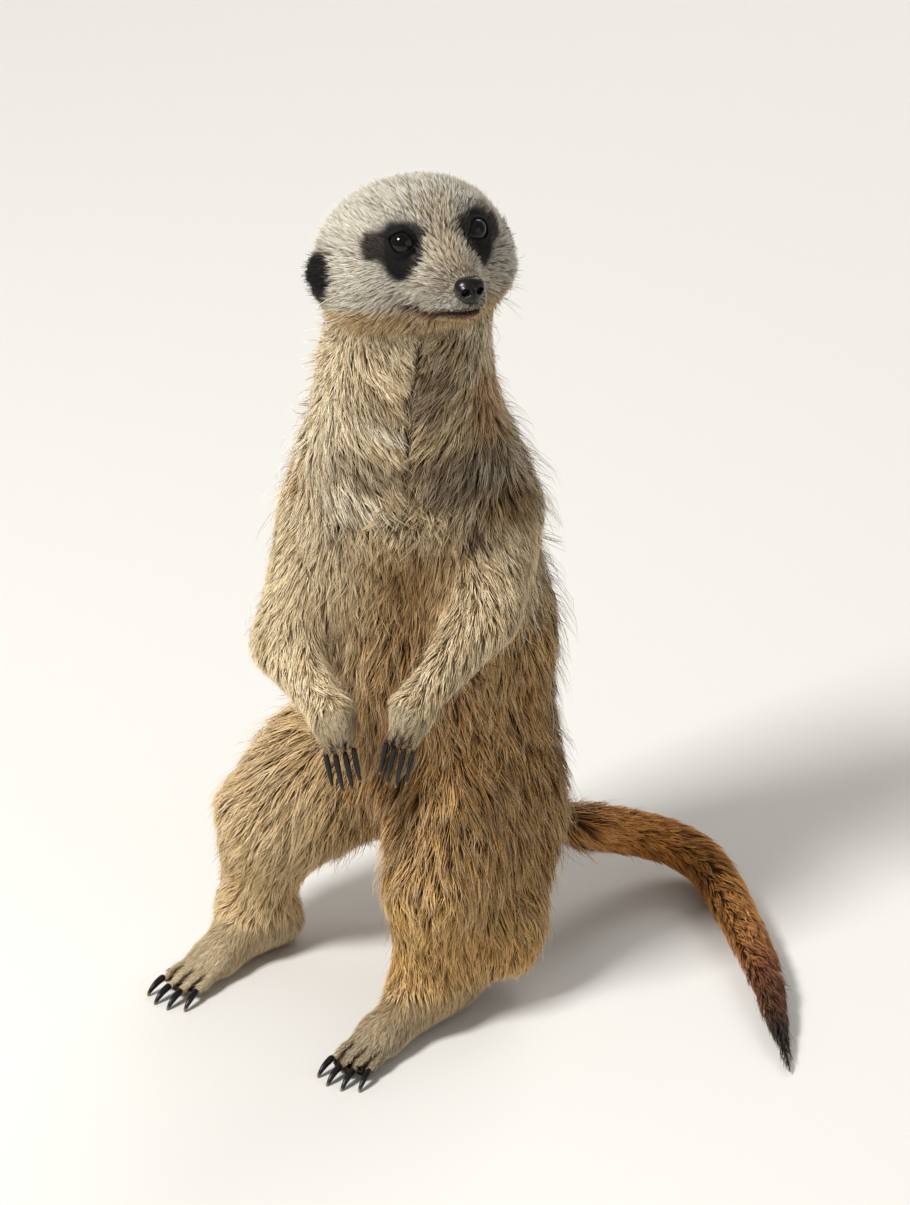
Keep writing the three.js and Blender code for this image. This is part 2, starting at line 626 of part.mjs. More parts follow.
function limbNodes(side) {
  const { wrist, tips } = ARMS[side];
  const { ankle, heel } = LEGS[side];
  const reachOf = shoulderBall(side, 0).boundingBox();
  const armBox = new THREE.Box3(vec(...reachOf.min), vec(...reachOf.max)).expandByScalar(3);
  const upper = meshField(coreField, armBox, CELL.upper_arm).intersect(shoulderBall(side, 0));
  addNode(`upper_arm_${side}`, biggest(inner(upper, elbowCut(side))), COLOURS.coat);
  addNode(`forearm_${side}`, biggest(inner(forearm(side), wristCut(side))), COLOURS.limb);

  let hand = outer(meshField(armField(side), boxAround(10, wrist, tips), CELL.hand), wristCut(side));
  const inward = vec(0, 0.9, -0.5).normalize();
  for (const line of fingers(side))
    hand = hand.add(digit(line, FINGER.radius, inward.clone().negate()));
  const along = ARMS[side].clawTips.clone().sub(tips).normalize();
  fingers(side).forEach(({ to }, i) => {
    const length = FINGER.claw * (i === 0 || i === HAND_FINGERS - 1 ? 0.88 : 1);
    const base = to.clone().addScaledVector(along, -0.8);
    const roomBase = base.clone().addScaledVector(along, -GAP);
    addNode(`claw_hand_${side}_${i + 1}`,
      claw(base, along, inward, length, FINGER.clawRadius), COLOURS.claw, 0.35);
    hand = hand.subtract(claw(roomBase, along, inward, length, FINGER.clawRadius, GAP));
  });
  addNode(`hand_${side}`, biggest(hand), COLOURS.paw);

  const hipReach = hipBall(side, 0).boundingBox();
  const hipBox = new THREE.Box3(vec(...hipReach.min), vec(...hipReach.max)).expandByScalar(3);
  let thigh = meshField(bodyField, hipBox, CELL.thigh).intersect(hipBall(side, 0));
  thigh = inner(thigh, kneeCut(side));
  addNode(`thigh_${side}`, biggest(inner(thigh, tailRoot)), COLOURS.coat);
  addNode(`shank_${side}`, biggest(inner(shank(side), ankleCut(side))), COLOURS.limb);

  const toeTips = toes(side).map(({ to }) => to);
  let foot = meshField(legField(side), boxAround(12, ankle, heel, ...toeTips), CELL.foot);
  foot = outer(foot, ankleCut(side));
  for (const line of toes(side)) foot = foot.add(digit(line, TOE.radius, vec(0, 0, 1)));
  toes(side).forEach(({ from, to }, i) => {
    const along = to.clone().sub(from).normalize();
    const droop = vec(0, 0, -1);
    const base = to.clone().addScaledVector(along, 0.4).add(vec(0, 0, 0.9));
    const roomBase = base.clone().addScaledVector(along, -GAP);
    addNode(`claw_foot_${side}_${i + 1}`,
      claw(base, along, droop, TOE.claw, TOE.clawRadius), COLOURS.claw, 0.35);
    foot = foot.subtract(claw(roomBase, along, droop, TOE.claw, TOE.clawRadius, GAP));
  });
  addNode(`foot_${side}`, biggest(foot), COLOURS.paw);
}

// The tail from one share of its length to another.
function tailLength(from, to) {
  const place = (t) => THREE.MathUtils.lerp(from, to, t);
  const rings = 3 + Math.round((to - from) * 20);
  return horn((t) => TAIL.getPointAt(place(t)), vec(0, 0, 1), (t) => tailRadius(place(t)),
    { rings, sides: 12 });
}

function tailNodes() {
  const ends = [...TAIL_CUTS, 1];
  const half = GAP / 2 / TAIL.getLength();
  const colours = [COLOURS.tail, COLOURS.tail, COLOURS.tail_tip];
  colours.forEach((colour, i) => {
    const to = i === colours.length - 1 ? 1 : ends[i + 1] - half;
    addNode(`tail_${i + 1}`, tailLength(ends[i] + half, to), colour);
  });
}

headNodes();
trunkNodes();
SIDES.forEach(([side]) => limbNodes(side));
tailNodes();

// The origin is on the floor, under the middle of the bounding box.
const bounds = new THREE.Box3().setFromObject(root);
const middle = bounds.getCenter(vec(0, 0, 0));
root.position.set(-middle.x, -middle.y, -bounds.min.z);

export default root;
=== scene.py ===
# %% [markdown]
# # A meerkat standing on its hind legs
# This script dresses a life-size museum model of a meerkat. A single smooth skin holds the body together. A
# coat of solid, tapered tufts of hair lies over it. Eyes, lid rims, nose and claws are hard pieces of their
# own. A pale floor, soft lamps and a camera show the result.
#
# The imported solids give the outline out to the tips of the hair, so every place and size below starts from
# them.

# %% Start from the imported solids
import heapq
import math

import bmesh
import bpy
import numpy as np
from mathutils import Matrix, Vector
from mathutils.bvhtree import BVHTree
from mathutils.kdtree import KDTree


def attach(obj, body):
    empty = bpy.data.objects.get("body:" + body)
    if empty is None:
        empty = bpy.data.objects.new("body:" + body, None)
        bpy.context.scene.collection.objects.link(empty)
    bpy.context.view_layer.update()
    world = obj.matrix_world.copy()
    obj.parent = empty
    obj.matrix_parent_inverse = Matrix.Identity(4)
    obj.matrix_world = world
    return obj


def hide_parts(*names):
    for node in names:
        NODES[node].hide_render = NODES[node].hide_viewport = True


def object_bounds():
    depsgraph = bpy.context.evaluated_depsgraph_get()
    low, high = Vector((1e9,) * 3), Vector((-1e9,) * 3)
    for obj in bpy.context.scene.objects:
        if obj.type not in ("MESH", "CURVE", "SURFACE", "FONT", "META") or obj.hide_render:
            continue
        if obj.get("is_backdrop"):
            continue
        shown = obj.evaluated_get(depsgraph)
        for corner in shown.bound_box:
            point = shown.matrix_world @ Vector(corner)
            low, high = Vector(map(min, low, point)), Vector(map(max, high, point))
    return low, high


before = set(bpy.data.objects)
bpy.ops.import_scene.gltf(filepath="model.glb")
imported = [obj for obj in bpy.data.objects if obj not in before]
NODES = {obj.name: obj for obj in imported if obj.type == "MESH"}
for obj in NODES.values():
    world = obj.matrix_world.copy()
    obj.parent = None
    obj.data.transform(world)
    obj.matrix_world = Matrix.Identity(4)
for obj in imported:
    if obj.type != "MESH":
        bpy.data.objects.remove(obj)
CAD_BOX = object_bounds()
MM = 0.001
rng = np.random.default_rng(11)
print("solids:", len(NODES), "height in mm:", round((CAD_BOX[1].z - CAD_BOX[0].z) / MM))

# %% [markdown]
# ## Working with arrays
# A coat has more than a hundred thousand tufts, so it is made with arrays of numbers and not one vertex at
# a time. These helpers read a mesh into arrays in millimetres and write it back in metres.


# %% Helpers for meshes and arrays
def read(items, key, width, kind=np.float32):
    flat = np.empty(len(items) * width, kind)
    items.foreach_get(key, flat)
    return flat.reshape(-1, width)


def points_of(mesh):
    return read(mesh.vertices, "co", 3).astype(float) / MM


def move_points(mesh, points):
    mesh.vertices.foreach_set("co", (points * MM).astype(np.float32).ravel())
    mesh.update()


def normals_of(mesh):
    return read(mesh.vertex_normals, "vector", 3).astype(float)


def unit(vectors):
    return vectors / np.maximum(np.linalg.norm(vectors, axis=-1, keepdims=True), 1e-9)


def dot(a, b):
    return np.sum(a * b, axis=-1)


def ease(low, high, values):
    """Rises smoothly from 0 at low to 1 at high."""
    t = np.clip((values - low) / (high - low), 0, 1)
    return t * t * (3 - 2 * t)


def window(low, above_low, below_high, high, values):
    """Rises from 0 at low to 1 above it, and falls back to 0 towards high."""
    return ease(low, above_low, values) * ease(high, below_high, values)


def mix(a, b, amount):
    return a + (b - a) * np.asarray(amount)[..., None]


def ripple(points, scale, seed=0):
    """A cheap, smooth noise from -1 to 1: a few sine waves in slanted directions."""
    waves = np.random.default_rng(seed).normal(size=(5, 3)) / scale * 2
    phase = np.random.default_rng(seed + 1).uniform(0, 6, 5)
    return np.sin(points @ waves.T + phase).sum(axis=1) / 3.2


def band(values, middle, half):
    """A soft band: 1 at the middle, fading out beyond its half width."""
    return np.exp(-((values - middle) / half) ** 2)


def mesh_object(name, mesh):
    made = bpy.data.objects.new(name, mesh)
    bpy.context.scene.collection.objects.link(made)
    return made


# %% [markdown]
# ## A body in regions
# Hair is short and fine on the face and paws, and long and loose on the flanks. Each region gets one row in
# a table: the starts of its solids' names, how deep the coat is, how long and wide its tufts are, how many
# stand on a square millimetre, how strongly the facets of its solids are smoothed away, how dark the hair's
# roots are, how grizzled its ends are, how many long hairs stand over it, and how strongly it gathers into
# locks.

# %% The regions and their coat, in millimetres
COAT = ("depth", "length", "width", "density", "smooth", "dark", "grizzle", "shaggy", "pull")
COAT_ROWS = {
    "head": (("head", "snout", "jaw"), 2.1, 3.7, 0.23, 4.5, 0.45, 0.66, 0.4, 0.10, 0.4),
    "ear": (("ear",), 1.3, 4.0, 0.24, 6.0, 0.4, 0.5, 0.6, 0.6, 0.3),
    "neck": (("neck",), 4.2, 9.5, 0.29, 1.9, 0.9, 0.75, 0.55, 0.16, 0.55),
    "chest": (("chest",), 5.0, 11.5, 0.29, 1.58, 1.0, 0.8, 0.65, 0.13, 0.6),
    "belly": (("abdomen",), 5.4, 15.0, 0.30, 1.16, 1.0, 0.85, 0.9, 0.10, 0.6),
    "arm": (("upper_arm", "forearm"), 3.2, 8.0, 0.28, 1.7, 0.7, 0.6, 0.4, 0.10, 0.4),
    "hand": (("hand",), 1.0, 2.2, 0.20, 5.5, 0.1, 0.5, 0.2, 0.0, 0.1),
    "thigh": (("thigh",), 5.4, 15.0, 0.30, 1.2, 1.0, 0.88, 1.0, 0.14, 0.6),
    "shank": (("shank",), 3.2, 9.0, 0.29, 1.42, 0.7, 0.65, 0.5, 0.08, 0.45),
    "foot": (("foot",), 1.2, 2.6, 0.22, 3.6, 0.15, 0.5, 0.15, 0.0, 0.1),
    "tail": (("tail",), 2.6, 8.0, 0.29, 1.65, 0.7, 0.7, 0.35, 0.05, 0.4),
}
REGIONS = {region: dict(zip(("nodes", *COAT), row)) for region, row in COAT_ROWS.items()}
SHORT_HAIRED = ("head", "ear", "hand", "foot")
REGION_OF = {}
for node in NODES:
    for region, row in REGIONS.items():
        if node.startswith(row["nodes"]):
            REGION_OF[node] = region
print("flesh solids:", len(REGION_OF), "hard pieces:", len(NODES) - len(REGION_OF))


def column(key):
    return np.array([row[key] for row in REGIONS.values()])


# %% [markdown]
# ## One skin from many solids
# The solids of the body meet at hair-thin cuts. Swelling each one a little closes the cuts, and a voxel
# remesh then melts them into a single closed surface, as a modeller would fuse lumps of clay. The eyes and
# the nose are fused in too, so that the skin has something to be shaped from there, though they get pieces
# of their own later.

# %% Fuse the flesh
SWELL = {"arm": 0.8, "shank": 0.8, "chest": 0.7, "belly": 0.7}
CUT_SWELL = 0.3
VOXEL = 1.9


def swollen(node):
    solid = bmesh.new()
    solid.from_mesh(NODES[node].data)
    bmesh.ops.remove_doubles(solid, verts=solid.verts, dist=0.01 * MM)
    solid.normal_update()
    swell = SWELL.get(REGION_OF.get(node), CUT_SWELL)
    for vertex in solid.verts:
        vertex.co += vertex.normal * swell * MM
    return solid


def fused(nodes):
    """Joins the swollen solids, and keeps for each face the region that it came from."""
    corners, faces, owners = [], [], []
    for node in nodes:
        solid = swollen(node)
        start = len(corners)
        corners += [tuple(vertex.co) for vertex in solid.verts]
        faces += [[start + vertex.index for vertex in face.verts] for face in solid.faces]
        owners += [list(REGIONS).index(REGION_OF.get(node, "head"))] * len(solid.faces)
        solid.free()
    return corners, faces, owners


corners, faces, owners = fused([*REGION_OF, "eye_left", "eye_right", "nose"])
lumps = bpy.data.meshes.new("lumps")
lumps.from_pydata(corners, [], faces)
skin = mesh_object("skin", lumps)
remesh = skin.modifiers.new("one surface", "REMESH")
remesh.mode = "VOXEL"
remesh.voxel_size = VOXEL * MM
skin.data = bpy.data.meshes.new_from_object(skin.evaluated_get(bpy.context.evaluated_depsgraph_get()))
skin.modifiers.clear()
print("skin vertices:", len(skin.data.vertices))

# %% [markdown]
# ## The head's own axes
# Much of the detail is on the face, so the face gets its own axes: side (to the animal's left), ahead and
# up, in millimetres from the middle of the skull. They come from the places of the eyes and the nose.


# %% Axes of the head
def centre_of(node):
    return points_of(NODES[node].data).mean(0)


EYE_AHEAD, EYE_UP = 21.4, 7.0
NOSE_DROP = math.radians(27.8)
left_eye, right_eye, nose_tip = centre_of("eye_left"), centre_of("eye_right"), centre_of("nose")
EYES = (("left", left_eye, 1), ("right", right_eye, -1))
eye_middle = (left_eye + right_eye) / 2
SIDE = unit(left_eye - right_eye)
to_nose = unit((nose_tip - eye_middle) - SIDE * dot(nose_tip - eye_middle, SIDE))
over_nose = np.cross(to_nose, SIDE)
AHEAD = math.cos(NOSE_DROP) * to_nose + math.sin(NOSE_DROP) * over_nose
UP = math.cos(NOSE_DROP) * over_nose - math.sin(NOSE_DROP) * to_nose
SKULL = eye_middle - AHEAD * EYE_AHEAD - UP * EYE_UP
HEAD_AXES = np.stack([SIDE, AHEAD, UP], axis=1)


def in_head(points):
    return (points - SKULL) @ HEAD_AXES


def from_head(places):
    return SKULL + np.asarray(places, float) @ HEAD_AXES.T


EYE_SIDE = in_head(left_eye)[0]
print("eyes, from the skull:", in_head(left_eye).round(1), "nose:", in_head(nose_tip).round(1))

# %% [markdown]
# ## Finer mesh where the detail is
# Lids, lips and nostrils need a mesh several times finer than the back does. Only the faces inside a few
# balls around those places are cut in four, once for the face and paws and once more for eyes, mouth and
# toes.


# %% Cut the face finer
def in_balls(points, balls):
    return np.any([np.linalg.norm(points - centre, axis=1) < radius for centre, radius in balls], axis=0)


def cut_finer(mesh, balls):
    work = bmesh.new()
    work.from_mesh(mesh)
    centres = np.array([face.calc_center_median() for face in work.faces]) / MM
    chosen = in_balls(centres, balls)
    edges = {edge for face, inside in zip(work.faces, chosen) if inside for edge in face.edges}
    bmesh.ops.subdivide_edges(work, edges=list(edges), cuts=1, use_grid_fill=True)
    work.to_mesh(mesh)
    work.free()


PAWS = {"hand_left": 11, "hand_right": 11, "foot_left": 17, "foot_right": 17}


def claws_of(paw):
    return [f"claw_{paw}_{k}" for k in range(1, 5)]


def toes_middle(paw):
    return np.mean([centre_of(claw) for claw in claws_of(paw)], axis=0)


FACE_BALLS = [(from_head((0, 20, -2)), 33)]
FINE_BALLS = [(left_eye, 10), (right_eye, 10), (from_head((0, 36, -13)), 15)]
for balls, part_of_paw in ((FACE_BALLS, 1), (FINE_BALLS, 0.75)):
    cut_finer(skin.data, balls + [(toes_middle(paw), size * part_of_paw) for paw, size in PAWS.items()])
print("skin vertices with finer face and paws:", len(skin.data.vertices))

# %% [markdown]
# ## Every skin point knows its region
# Each point takes the region of the nearest solid. Spreading that knowledge to the neighbours a few times
# gives soft shares, such as 70% neck and 30% chest, and everything read from the table then changes without
# a step.

# %% Shares of the regions
links = read(skin.data.edges, "vertices", 2, np.int32)
count = len(skin.data.vertices)
link_count = np.bincount(links.ravel(), minlength=count)[:, None]


def neighbour_mean(values):
    a, b = links.T
    sums = [np.bincount(a, v[b], count) + np.bincount(b, v[a], count) for v in values.T]
    return np.stack(sums, axis=1) / link_count


def spread(values, rounds, strength=0.5):
    for _ in range(rounds):
        values = values + (neighbour_mean(values) - values) * strength
    return values


solids = BVHTree.FromPolygons(corners, faces)
points = points_of(skin.data)
nearest = [owners[solids.find_nearest(Vector(place))[2]] for place in points * MM]
shares = spread(np.eye(len(REGIONS))[nearest], rounds=14)
share = {region: shares[:, k] for k, region in enumerate(REGIONS)}
wide_shares = spread(shares, rounds=90, strength=1.0)
print("points by region:", {region: int(part.sum()) for region, part in share.items()})

# %% [markdown]
# ## Smooth, then sink by the depth of the coat
# Averaging each point with its neighbours wears the facets away, but also shrinks the body. The loss is
# smoothed in turn and given back, so the form stays full. The skin then sinks by the depth of the coat, and
# by less than half of what is there where a toe or the tail's tip is thin.

# %% Smooth the skin and sink it
softness = (shares @ column("smooth"))[:, None] * 0.6
soft = spread(points, rounds=45, strength=softness)
points = soft + spread(points - soft, rounds=30)
move_points(skin.data, points)

face_places = in_head(points)
bare_places = ((EYE_SIDE, EYE_AHEAD, EYE_UP), (-EYE_SIDE, EYE_AHEAD, EYE_UP), (0, 48, -8), (0, 42, -14))
to_bare = np.min([np.linalg.norm(face_places - place, axis=1) for place in bare_places], axis=0)
short_coat = 0.3 + 0.7 * ease(6, 20, to_bare)
swell_of = np.array([SWELL.get(region, CUT_SWELL) for region in REGIONS])
THIN_LIMIT = 0.36

normals = normals_of(skin.data)
body_tree = BVHTree.FromObject(skin, bpy.context.evaluated_depsgraph_get())


def thickness(point, normal):
    inward = Vector(-normal)
    reach = body_tree.ray_cast(Vector(point * MM) + inward * 0.2 * MM, inward)[3]
    return reach / MM if reach else 1.0


through = np.array([thickness(point, normal) for point, normal in zip(points, normals)])
through = spread(through[:, None], rounds=6)[:, 0]
wanted_sink = shares @ column("depth") * short_coat + shares @ swell_of
sink = np.minimum(wanted_sink, through * THIN_LIMIT)
sink = spread(sink[:, None], rounds=6)
points = spread(points - normals * sink, rounds=4, strength=0.4 * (shares @ column("smooth"))[:, None] + 0.1)
move_points(skin.data, points)
print("skin sunk by up to", round(float(sink.max()), 1), "mm")

# %% [markdown]
# ## Eye sockets and lids
# A real lid is a thin fold that rests on the eyeball, so the eye looks set into the head and not stuck on
# it. Around each eye, every skin point is described by its angle from the direction of gaze. Inside the
# almond of the opening the skin dives behind the ball. At the rim it rises just over the ball, and further
# out it melts back into the face.

# %% Shape the lids
EYE_RADIUS = 5.6
OPEN_WIDE, OPEN_HIGH = math.radians(52), math.radians(41)
LID, DIVE = 0.75, 1.6
LIDS_END, EYE_REACH = 2.6, 13
ALMOND = 1.8
GAZE, OUTER_CORNER = (0.38, 0.9, 0.22), (0.8, -0.5, 0.3)


def eye_axes(side):
    """The directions of gaze, of the opening's length (towards the outer corner) and of its height."""
    mirror = np.array([side, 1, 1])
    gaze = unit(HEAD_AXES @ (GAZE * mirror))
    corner = HEAD_AXES @ (OUTER_CORNER * mirror)
    length = unit(corner - gaze * dot(corner, gaze))
    return gaze, length, np.cross(length, gaze) * -side


def opening(around, side):
    """How far a direction from the eye's middle is out of the opening: under 1 inside it, 1 at the rim."""
    gaze, length, height = eye_axes(side)
    ahead = dot(around, gaze)
    along = np.arctan2(dot(around, length), ahead) / OPEN_WIDE
    over = np.arctan2(dot(around, height), ahead) / OPEN_HIGH
    return (np.abs(along) ** ALMOND + np.abs(over) ** ALMOND) ** (1 / ALMOND)


def with_lids(points, centre, side):
    around = points - centre
    far = np.linalg.norm(around, axis=1)
    out = opening(around / far[:, None], side)
    lid = EYE_RADIUS - DIVE + (LID + DIVE) * ease(0.82, 1.06, out)
    kept = ease(1.25, 2.1, out)
    wanted = lid + (np.maximum(far, EYE_RADIUS + LID) - lid) * kept
    wanted = np.where((out < LIDS_END) & (far < EYE_REACH), wanted, far)
    return centre + around * (wanted / far)[:, None]


for _, centre, side in EYES:
    points = with_lids(points, centre, side)
move_points(skin.data, points)

# %% [markdown]
# ## The mouth
# The mouth is a shut, thin line between soft lips. A narrow groove is pressed in along it, with a slight
# swelling on either side for the lips.

# %% Press in the mouth
MOUTH_UP, MOUTH_BACK = -14.4, 18.5
GROOVE_DEEP, GROOVE_HALF = 1.5, 0.55
LIP_OUT, LIP_AT, LIP_HALF = 0.5, 1.5, 0.9


def mouth_line(ahead):
    """Height of the shut mouth, in the head's axes: it dips towards its corners and curls up at the last."""
    return MOUTH_UP - 2.0 * ease(44, 26, ahead) + 3.4 * ease(24.5, MOUTH_BACK, ahead)


normals = normals_of(skin.data)
face_places = in_head(points)
from_mouth = face_places[:, 2] - mouth_line(face_places[:, 1])
on_mouth = ease(MOUTH_BACK - 1.5, MOUTH_BACK + 3, face_places[:, 1]) * share["head"]
lips = band(np.abs(from_mouth), LIP_AT, LIP_HALF)
groove = GROOVE_DEEP * band(from_mouth, 0, GROOVE_HALF) - LIP_OUT * lips
points = points - normals * (groove * on_mouth)[:, None]
move_points(skin.data, points)
print("mouth pressed in along", int((on_mouth > 0.5).sum()), "points")

# %% [markdown]
# ## Fingers and toes
# The fused skin has mittens for paws. A slit pressed in between each two claws, running back towards the
# wrist or ankle over the top and round the front, parts them into four digits again.

# %% Part the digits
FURROW_WIDE, FURROW_DEEP = 0.8, 1.5
FURROW_LONG = {"hand": 9.0, "foot": 14.0}


def claw_ends(node, paw):
    """The root and the tip of a claw: its points nearest to and furthest from the middle of its paw."""
    spots = points_of(NODES[node].data)
    far = np.linalg.norm(spots - centre_of(paw), axis=1)
    return spots[far < far.min() + 1.5].mean(axis=0), spots[far.argmax()]


def furrow_depth(points, start, back, across, reach):
    """How near each point is to the slit between two digits, from 0 to 1, fading out towards its far end."""
    along = (points - start) @ back
    off = np.abs((points - start) @ across)
    return band(off, 0, FURROW_WIDE) * (1 - ease(0.45, 1.0, along / reach)) * (along > -6)


normals = normals_of(skin.data)
between_digits = np.zeros(count)
for paw in PAWS:
    ends = [claw_ends(claw, paw) for claw in claws_of(paw)]
    back = unit(centre_of(paw) - np.mean([root for root, _ in ends], axis=0))
    for (root, _), (next_root, _) in zip(ends, ends[1:]):
        start = (root + next_root) / 2
        across = unit((next_root - root) - back * dot(next_root - root, back))
        near = np.linalg.norm(points - start, axis=1) < 18
        depth = furrow_depth(points[near], start, back, across, FURROW_LONG[paw.split("_")[0]])
        between_digits[near] = np.maximum(between_digits[near], depth)
digits = between_digits * (share["hand"] + share["foot"])
points = points - normals * (digits * FURROW_DEEP)[:, None]
move_points(skin.data, points)
print("furrows between digits on", int((digits > 0.3).sum()), "points")

# %% [markdown]
# ## The twist of the trunk
# The animal twists as it stands: its hips face one way and its head another. Two short tables along the
# spine, one for the middle of the trunk and one for the way it faces, let the hair and its markings follow
# that twist.

# %% The trunk's middle and the way it faces
spine = np.array([centre_of(node) for node in ("abdomen", "chest", "neck", "head")])
FACING_AT = np.array([80, 128, 180, 230, 276])
FACING_DEGREES = np.array([-43, -20, -8, 5, 21])


def facing(points):
    """For each point, the directions that the trunk's front and its left side face at that height."""
    turn = np.radians(np.interp(points[:, 2], FACING_AT, FACING_DEGREES))
    level = np.zeros(len(points))
    front = np.stack([np.sin(turn), -np.cos(turn), level], axis=1)
    left = np.stack([np.cos(turn), np.sin(turn), level], axis=1)
    return front, left


def across_trunk(points):
    _, left = facing(points)
    middle = np.stack([np.interp(points[:, 2], spine[:, 2], spine[:, k]) for k in (0, 1)], axis=1)
    return dot((points - np.pad(middle, ((0, 0), (0, 1))))[:, :2], left[:, :2])

# %% [markdown]
# ## Which way the hair lies
# On an animal the hair lies away from the nose: back over the skull, down the body, and out along each leg
# and the tail. The shortest way over the skin from the nose to every point is a number that grows in just
# that direction. Its slope, smoothed a little, is the lie of the coat.

# %% The lie of the coat
skin_mesh = skin.data
skin_mesh.calc_loop_triangles()
normals = normals_of(skin_mesh)


def steps_between(mesh):
    """For each point, its neighbours along edges and across the corners of faces, with their distances."""
    pairs = {tuple(sorted(pair)) for pair in links.tolist()}
    for face in mesh.polygons:
        if len(face.vertices) == 4:
            a, b, c, d = face.vertices
            pairs.update((tuple(sorted((a, c))), tuple(sorted((b, d)))))
    ends = np.array(sorted(pairs))
    lengths = np.linalg.norm(points[ends[:, 0]] - points[ends[:, 1]], axis=1)
    steps = [[] for _ in range(count)]
    for (a, b), length in zip(ends.tolist(), lengths.tolist()):
        steps[a].append((b, length))
        steps[b].append((a, length))
    return steps


def way_over_skin(steps, start):
    """The length of the shortest way from one point to all the others."""
    way = np.full(count, np.inf)
    way[start] = 0
    queue = [(0.0, start)]
    while queue:
        so_far, here = heapq.heappop(queue)
        if so_far > way[here]:
            continue
        for there, length in steps[here]:
            if so_far + length < way[there]:
                way[there] = so_far + length
                heapq.heappush(queue, (so_far + length, there))
    return way


nose_point = int(np.argmin(np.linalg.norm(points - nose_tip, axis=1)))
way = way_over_skin(steps_between(skin_mesh), nose_point)
way = spread(way[:, None], rounds=12)[:, 0]


def slope_of(values):
    a, b = links.T
    step = points[b] - points[a]
    rise = ((values[b] - values[a]) / np.maximum(dot(step, step), 1e-6))[:, None] * step
    total = [np.bincount(a, r, count) + np.bincount(b, r, count) for r in rise.T]
    return np.stack(total, axis=1)


def along_skin(vectors, normals):
    return unit(vectors - normals * dot(vectors, normals)[:, None])


# %% [markdown]
# ## The throat and the hang of the hair
# On the throat and chest the hair sweeps in from both sides to a parting, which lies in a shallow crease of
# the skin, and all long hair hangs.

# %% Turn the lie down and in towards the throat
PARTING_LOW, PARTING_TOP = 188, 258
TO_PARTING = 1.9
CREASE_DEEP, CREASE_HALF = 1.6, 1.7
HANG = np.array([0, 0, -1.0])

front, left = facing(points)
across = across_trunk(points)
height = points[:, 2]
throat = ease(-0.1, 0.5, dot(normals, front)) * (share["neck"] + share["chest"])
throat *= window(PARTING_LOW - 3, PARTING_LOW + 10, PARTING_TOP - 6, PARTING_TOP + 8, height)
inward = -left * (np.tanh(across / 13) * throat)[:, None]
hanging = 0.45 * (share["chest"] + share["belly"] + share["thigh"])
hanging = hanging + 0.2 * share["neck"] + 0.4 * share["arm"]
lie = spread(unit(slope_of(way)), rounds=25)
lie = along_skin(unit(lie) + HANG * hanging[:, None] + inward * TO_PARTING, normals)
crease = throat * ease(PARTING_TOP + 2, PARTING_TOP - 8, height)
points = points - normals * (CREASE_DEEP * band(across, 0, CREASE_HALF) * crease)[:, None]
move_points(skin.data, points)
trim = 1 - 0.6 * band(across, 0, 5) * crease
print("longest way from the nose:", round(float(way.max())), "mm")

# %% [markdown]
# ## Markings
# One function says what colour the coat has at any place, and both the skin and the tufts ask it, so a
# marking never stops between them. It mixes plain paints by region, and adds what makes the animal: dark
# patches round the eyes, black ears, faint bars across the back, and a tail that ends nearly black. It
# also paints in light and shade: a dark line of painted shade down the parting on the throat, painted shade
# in the armpits and between the digits, and a paler right side as painted light. It also says how grizzled
# the hair is, so how pale its tips are, and how dark it is at the root.

# %% Paints
CREAM = np.array([0.97, 0.93, 0.84])
ASH = np.array([0.90, 0.86, 0.77])
BUFF = np.array([0.92, 0.80, 0.59])
TAN = np.array([0.84, 0.71, 0.51])
CLAY = np.array([0.78, 0.57, 0.36])
GREY_BROWN = np.array([0.42, 0.34, 0.26])
UMBER = np.array([0.24, 0.15, 0.09])
SOOT = np.array([0.085, 0.075, 0.07])
SOOT_BROWN = np.array([0.21, 0.175, 0.155])
GOLD = np.array([0.93, 0.74, 0.45])
SAND = np.array([0.98, 0.88, 0.70])
FAWN = np.array([0.80, 0.59, 0.32])
AMBER = np.array([0.68, 0.47, 0.24])
OCHRE = np.array([0.90, 0.60, 0.29])
RUST = np.array([0.46, 0.25, 0.14])
DARKEST, BRIGHTEST = 0.02, 0.98
BASE_PAINT = dict(
    head=CREAM, ear=SOOT, neck=BUFF, chest=TAN, belly=FAWN, arm=SAND,
    hand=SAND, thigh=FAWN, shank=GOLD, foot=SAND, tail=OCHRE,
)


def linear(colours):
    """Turns paints as seen on a screen into the linear values that the renderer mixes."""
    return np.where(colours <= 0.04045, colours / 12.92, ((colours + 0.055) / 1.055) ** 2.4)


def layered(paint, *layers):
    """Lays colours over a paint one after another, each by its own amount."""
    for colour, amount in layers:
        paint = mix(paint, colour, amount)
    return paint


# %% [markdown]
# The mask round each eye is not a plain disc. It reaches back towards the ear and down along the muzzle, so
# it is made of five round spots that melt together, given for the left side in the head's axes and mirrored
# for the right. The first two, over and under the eye, are black; the rest is a dark brown-grey.

# %% Markings of the head
BLACK_SPOTS = 2
MASK_SPOTS = (
    ((13.5, 25.0, 8.0), 7.2),
    ((14.0, 24.5, 0.5), 6.2),
    ((19.8, 18.0, 6.5), 5.4),
    ((8.5, 28.0, 9.5), 3.7),
    ((10.5, 28.5, 3.5), 4.2),
)
MELT = 5.0
EAR_MIDDLE = (-3.2, -3.6)


def mask(face, inner=False):
    """How far each point is into the mask, from 0 to 1, or into its black inner part."""
    mirrored = np.column_stack([np.abs(face[:, 0]), face[:, 1:]])
    spots = MASK_SPOTS[:BLACK_SPOTS] if inner else MASK_SPOTS
    out = np.array([np.linalg.norm(mirrored - spot, axis=1) / size for spot, size in spots])
    merged = -np.log(np.exp(-MELT * out).sum(axis=0)) / MELT
    merged = merged + 0.08 * ripple(face, 2.5, 5)
    return 1 - ease(0.55, 0.95, merged) if inner else 1 - ease(0.72, 1.06, merged)


